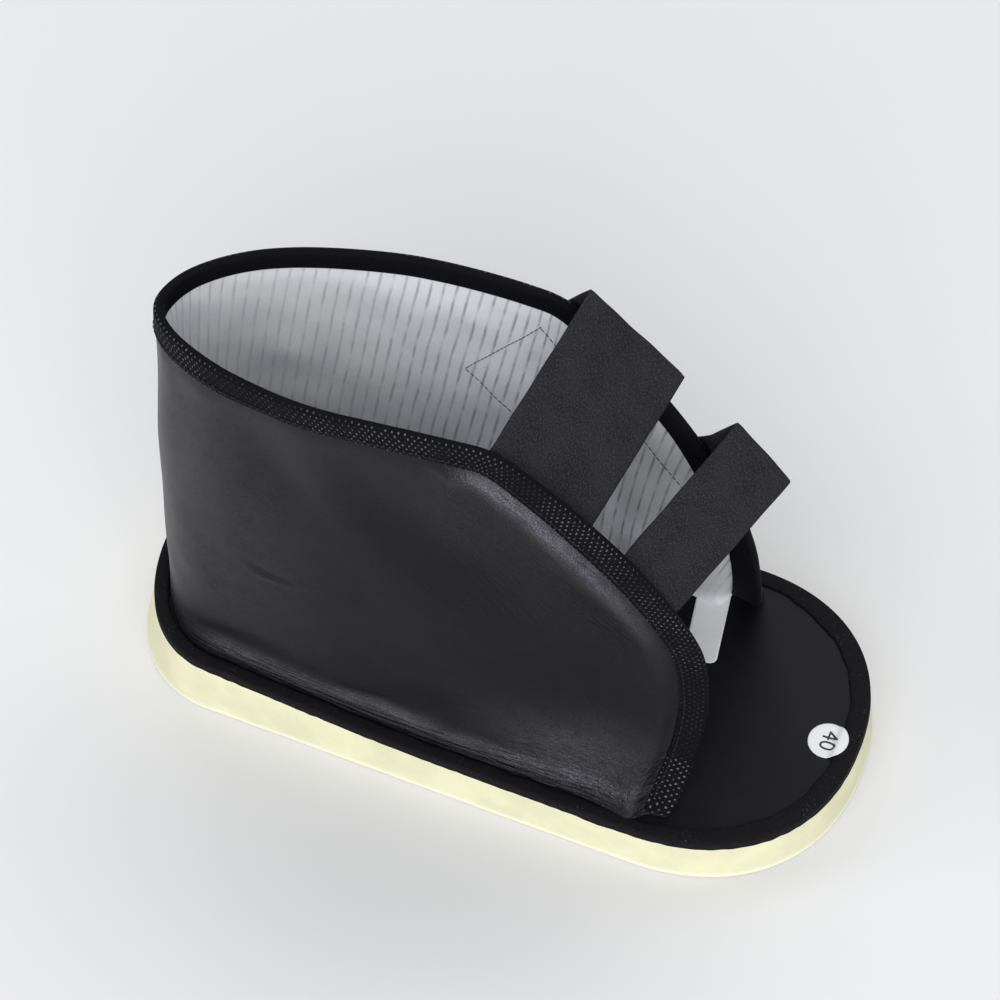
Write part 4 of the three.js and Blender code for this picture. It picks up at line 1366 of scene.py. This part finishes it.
class CASTSHOE_OT_upper(ShoeOperator, bpy.types.Operator):
    """Upper: one wrap of leatherette with soft dents, folds and a tuck along the foot seam"""

    bl_idname = "castshoe.upper"
    bl_label = "Leather upper"

    def execute(self, context):
        sizes, colours = self.settings()
        piece = wall_sheet(
            "leather_upper", LEATHER_GRID,
            lambda way, z: leather_face(rim_distance(way, z), sizes.leather) + leather_relief(way, z),
            lambda way, z: UPPER["half_gap"],
            upper_material(colours.leather, sizes.grain), "leather", "upper_shell")
        # Share of polishing at each point: it raises the gloss and paints the colour lighter as a painted
        # highlight
        polish_and_painted_sheen = leather_polish_and_painted_sheen(*wall_places(*LEATHER_GRID)).ravel()
        layer = piece.data.attributes.new("polish_and_painted_sheen", "FLOAT", "POINT")
        layer.data.foreach_set("value", np.tile(polish_and_painted_sheen, 2).astype(np.float32))
        return {"FINISHED"}


class CASTSHOE_OT_lining(ShoeOperator, bpy.types.Operator):
    """Lining: striped cloth inside the upper, with slack ripples and a hem that turns in at the far front"""

    bl_idname = "castshoe.lining"
    bl_label = "Lining"

    def execute(self, context):
        sizes, colours = self.settings()

        def inner(way, z):
            face = lining_face(rim_distance(way, z), sizes.lining)
            return face + lining_relief(way, z) - lining_hem(way, z)

        piece = wall_sheet(
            "striped_lining", LINING_GRID, lambda way, z: -UPPER["half_gap"] - lining_hem(way, z), inner,
            lining_material(colours.lining, colours.stripe, sizes.stripe), "lining", "lining")
        return {"FINISHED"}


class CASTSHOE_OT_binding(ShoeOperator, bpy.types.Operator):
    """Binding: woven tape folded over the rim and down both front edges, with a row of stitches"""

    bl_idname = "castshoe.binding"
    bl_label = "Rim binding"

    def execute(self, context):
        sizes, colours = self.settings()
        path = rim_path()
        profile = binding_profile(sizes.leather, sizes.lining)
        run = distances_along(middle_point(path[0], path[1]))
        across = distances_along(profile)
        points = lay_profile(path, widened(profile, run))
        faces = grid_faces(*points.shape[:2], wrap_cols=True)
        material = weave_material(colours.binding, colours.thread, sizes.weave, BINDING["outer_lip"])
        piece = make_piece(
            "rim_binding", points, faces, joined(run[:, None], across), material, "top_binding")
        step = BINDING["outer_lip"] - BINDING["seam_in"]
        face = leather_face(step, sizes.leather) + BINDING["gap"] + BINDING["thick"] + BINDING["seam_over"]
        seam = lay_profile(path, np.array([(step, face), (step, face + 1 * MM)]))[2:-2]
        thread = thread_material("binding_thread", shade(colours.thread, 0.1), gloss=0.15)
        stitches = stitch_piece(
            "binding_stitches", seam[:, 0], seam[:, 1] - seam[:, 0], sizes.stitch, THREAD["binding"],
            thread)
        return {"FINISHED"}


class CASTSHOE_OT_straps(ShoeOperator, bpy.types.Operator):
    """Straps: elastic bands from inside the near wall over the instep, folded down outside the far wall"""

    bl_idname = "castshoe.straps"
    bl_label = "Elastic straps"

    def execute(self, context):
        sizes, colours = self.settings()
        material = elastic_material(colours.elastic)
        for seed, (name, strap) in enumerate(STRAPS.items(), start=BAND["seed"]):
            rows = strap_rows(strap)
            piece = band_piece(
                f"elastic_{name}", rows, sizes.strap, material, "elastic", f"strap_{name}", STRAP_WAVE, seed)
        return {"FINISHED"}


class CASTSHOE_OT_patches(ShoeOperator, bpy.types.Operator):
    """Fastening patches on the far wall under the strap ends, with the stitches that hold them"""

    bl_idname = "castshoe.patches"
    bl_label = "Fastening patches"

    def execute(self, context):
        sizes, colours = self.settings()
        material = pile_material(colours.tape)
        outside_thread = thread_material("patch_thread", shade(colours.thread, 0.25))
        inside_thread = thread_material("lining_thread", LINING_THREAD)
        over = PATCH["off"] + PATCH["thick"] / 2 + THREAD_OVER
        under = -UPPER["half_gap"] - sizes.lining - THREAD_UNDER
        for name, strap in STRAPS.items():
            way, z = patch_rows(strap)
            rows = wall_point(way, z, PATCH["off"])
            piece = band_piece(f"pile_{name}", rows, PATCH["thick"], material, "fastener", f"patch_{name}")
            seam = border_inside(*z.shape)
            line = wall_point(way[seam], z[seam], over)
            out = line - rows[seam]
            stitch_piece(
                f"pile_stitches_{name}", line, out, sizes.stitch, THREAD["patch"], outside_thread)
            if strap["inside_seam"] == "end":
                way, z = patch_rows(strap, PATCH["seam_first"])
                seam, out = 1, grid_normals(rows)[1]
            line = wall_point(way[seam], z[seam], under + lining_relief(way[seam], z[seam]))
            stitch_piece(
                f"lining_stitches_{name}", line, -out, sizes.stitch, THREAD["lining"],
                inside_thread)
        return {"FINISHED"}


class CASTSHOE_OT_label(ShoeOperator, bpy.types.Operator):
    """Label: a bare white satin strip with rounded corners, lying on the insole"""

    bl_idname = "castshoe.label"
    bl_label = "Label"

    def execute(self, context):
        _, colours = self.settings()
        end, corner = LABEL["length"] / 2, LABEL["corner"]
        turn = np.linspace(0, np.pi / 2, LABEL["corner_steps"])
        straight = np.linspace(corner - end, end, LABEL["steps"])[1:]
        along = np.concatenate([-end + corner * (1 - np.cos(turn)), straight])[:, None]
        half = LABEL["width"] / 2 - rounding(along + end, corner)
        x, y = np.broadcast_arrays(half * np.linspace(-1, 1, LABEL["across"]), along)
        c, s = math.cos(math.radians(LABEL["turn"])), math.sin(math.radians(LABEL["turn"]))
        low = insole_top(LABEL["x"]) + PAPER_GAP + LABEL["wave"] + noise_sum(x, y, LABEL_NOISE)
        flat = joined(LABEL["x"] + x * c - y * s, LABEL["y"] + x * s + y * c, low)
        piece = sheet_piece(
            "white_label", flat + (0, 0, LABEL["thick"]), flat, joined(x, y),
            white_material("label_satin", shade(colours.white, 1.3), 0.5 * MM), "label", "label")
        return {"FINISHED"}


class CASTSHOE_OT_sticker(ShoeOperator, bpy.types.Operator):
    """Sticker: a thin paper disc at the toe with a printed number"""

    bl_idname = "castshoe.sticker"
    bl_label = "Size sticker"

    def execute(self, context):
        sizes, colours = self.settings()
        low = insole_top(STICKER["x"]) + PAPER_GAP
        rings = np.linspace(0, STICKER["radius"], STICKER["rings"])[:, None]
        angle = np.linspace(0, 2 * np.pi, STICKER["sides"], endpoint=False)
        x, y = STICKER["x"] + rings * np.cos(angle), STICKER["y"] + rings * np.sin(angle)
        under = joined(x, y, low + self.climb(x))
        points = np.concatenate([under, under[::-1] + (0, 0, STICKER["thick"])])
        make_piece(
            "paper_sticker", points, grid_faces(*points.shape[:2], wrap_cols=True), None,
            white_material("sticker_paper", colours.white, 0.3 * MM), "size_sticker", merge=True)
        self.print_number(sizes.number, low + STICKER["thick"])
        return {"FINISHED"}

    @staticmethod
    def climb(x):
        """Height that the paper gains where it climbs onto the edge tape."""
        return (SEAT_GAP + TAPE["thick"]) * smoothstep(x, STICKER["climb_from"], STICKER["climb_to"])

    def print_number(self, words, level):
        """The number as a thin raised print that lies on the paper, read from the heel."""
        curve = bpy.data.curves.new("size_number", "FONT")
        curve.body = words
        curve.align_x, curve.align_y = "CENTER", "CENTER"
        curve.size = STICKER["radius"] * STICKER["digits"]
        curve.extrude = STICKER["ink"]
        text = add_object("size_number_text", curve)
        bpy.context.view_layer.update()
        mesh = bpy.data.meshes.new_from_object(text.evaluated_get(bpy.context.evaluated_depsgraph_get()))
        bpy.data.objects.remove(text)
        place = Vector((STICKER["x"], STICKER["y"], level))
        mesh.transform(Matrix.Translation(place) @ Matrix.Rotation(-math.pi / 2, 4, "Z"))
        points = np.empty(len(mesh.vertices) * 3)
        mesh.vertices.foreach_get("co", points)
        points[2::3] += self.climb(points[::3])
        mesh.vertices.foreach_set("co", points)
        mesh.materials.clear()
        mesh.name = "size_number"
        ride_on_shoe("size_number", mesh, thread_material("number_ink", INK))


class CASTSHOE_OT_stage(ShoeOperator, bpy.types.Operator):
    """Stage: the camera, soft light and a plain pale floor"""

    bl_idname = "castshoe.stage"
    bl_label = "Stage"

    def execute(self, context):
        stage = context.scene.cast_shoe_stage
        self.add_camera(context.scene, stage)
        self.add_lights(context.scene)
        self.add_floor(stage)
        return {"FINISHED"}

    @staticmethod
    def add_camera(scene, stage):
        """Camera at its distance and angles from the aim, turned to the picture's centre."""
        a, e, r = stage.azimuth, stage.elevation, stage.roll
        back = Vector((math.sin(a) * math.cos(e), -math.cos(a) * math.cos(e), math.sin(e)))
        level = Vector((math.cos(a), math.sin(a), 0))
        upright = back.cross(level)
        right = level * math.cos(r) + upright * math.sin(r)
        up = upright * math.cos(r) - level * math.sin(r)
        aim = Vector(stage.aim)
        place = aim + back * stage.distance
        look = aim + right * stage.centre[0] + up * stage.centre[1]
        back = (place - look).normalized()
        right = up.cross(back).normalized()
        up = back.cross(right)
        data = bpy.data.cameras.new("camera")
        data.lens = stage.lens
        data.sensor_width = SENSOR
        data.clip_start, data.clip_end = CLIP
        camera = add_object("camera", data)
        camera.matrix_world = Matrix.Translation(place) @ Matrix((right, up, back)).transposed().to_4x4()
        scene.camera = camera

    @staticmethod
    def add_lights(scene):
        """Wide soft boxes high in front and behind, two broad low ones, a window at the left, and a pale
        surround. A box's energy is its brightness times its area times pi."""
        for name, (place, size, brightness) in LIGHTS.items():
            data = bpy.data.lights.new(name, "AREA")
            data.shape = "RECTANGLE"
            data.size, data.size_y = size
            data.energy = math.pi * size[0] * size[1] * brightness
            light = add_object(name, data)
            light.location = place
            light.rotation_euler = (LIGHT_AIM - Vector(place)).to_track_quat("-Z", "Y").to_euler()
        world = bpy.data.worlds.new("surround")
        world.use_nodes = True
        for key, value in SURROUND.items():
            world.node_tree.nodes["Background"].inputs[key].default_value = value
        scene.world = world
        scene.view_settings.view_transform = "Standard"

    @staticmethod
    def add_floor(stage):
        """A wide level floor just under the sole, of faintly uneven pale paper."""
        side = np.linspace(-FLOOR["reach"], FLOOR["reach"], FLOOR["points"])
        points = joined(side, side[:, None], -FLOOR["under"])
        mesh = bpy.data.meshes.new("floor")
        mesh.from_pydata(points.reshape(-1, 3), [], grid_faces(*points.shape[:2]))
        mesh.materials.append(floor_material(stage.floor))
        add_object("floor", mesh)


class CASTSHOE_PT_panel(bpy.types.Panel):
    """Lists the shoe's pieces and settings."""

    bl_idname = "CASTSHOE_PT_panel"
    bl_label = "Cast shoe"
    bl_space_type = "VIEW_3D"
    bl_region_type = "UI"
    bl_category = "Cast shoe"

    def draw(self, context):
        for operator in OPERATORS:
            self.layout.operator(operator.bl_idname)
        for group in GROUPS:
            box = self.layout.box()
            for name in GROUPS[group].__annotations__:
                box.prop(getattr(context.scene, group), name)


OPERATORS = (
    CASTSHOE_OT_stage,
    CASTSHOE_OT_sole,
    CASTSHOE_OT_insole,
    CASTSHOE_OT_sole_tape,
    CASTSHOE_OT_upper,
    CASTSHOE_OT_lining,
    CASTSHOE_OT_binding,
    CASTSHOE_OT_patches,
    CASTSHOE_OT_straps,
    CASTSHOE_OT_label,
    CASTSHOE_OT_sticker,
)
GROUPS = {
    "cast_shoe_sizes": CastShoeSizes,
    "cast_shoe_colours": CastShoeColours,
    "cast_shoe_stage": CastShoeStage,
}


def register():
    """Registers the settings, operators and panel."""
    for name, group in GROUPS.items():
        bpy.utils.register_class(group)
        setattr(bpy.types.Scene, name, PointerProperty(type=group))
    for item in (*OPERATORS, CASTSHOE_PT_panel):
        bpy.utils.register_class(item)


def unregister():
    """Takes them away again."""
    for item in (CASTSHOE_PT_panel, *reversed(OPERATORS)):
        bpy.utils.unregister_class(item)
    for name, group in GROUPS.items():
        delattr(bpy.types.Scene, name)
        bpy.utils.unregister_class(group)


def main():
    """Builds the pieces in order."""
    register()
    for operator in OPERATORS:
        group, name = operator.bl_idname.split(".")
        getattr(getattr(bpy.ops, group), name)()


if __name__ == "__main__":
    main()
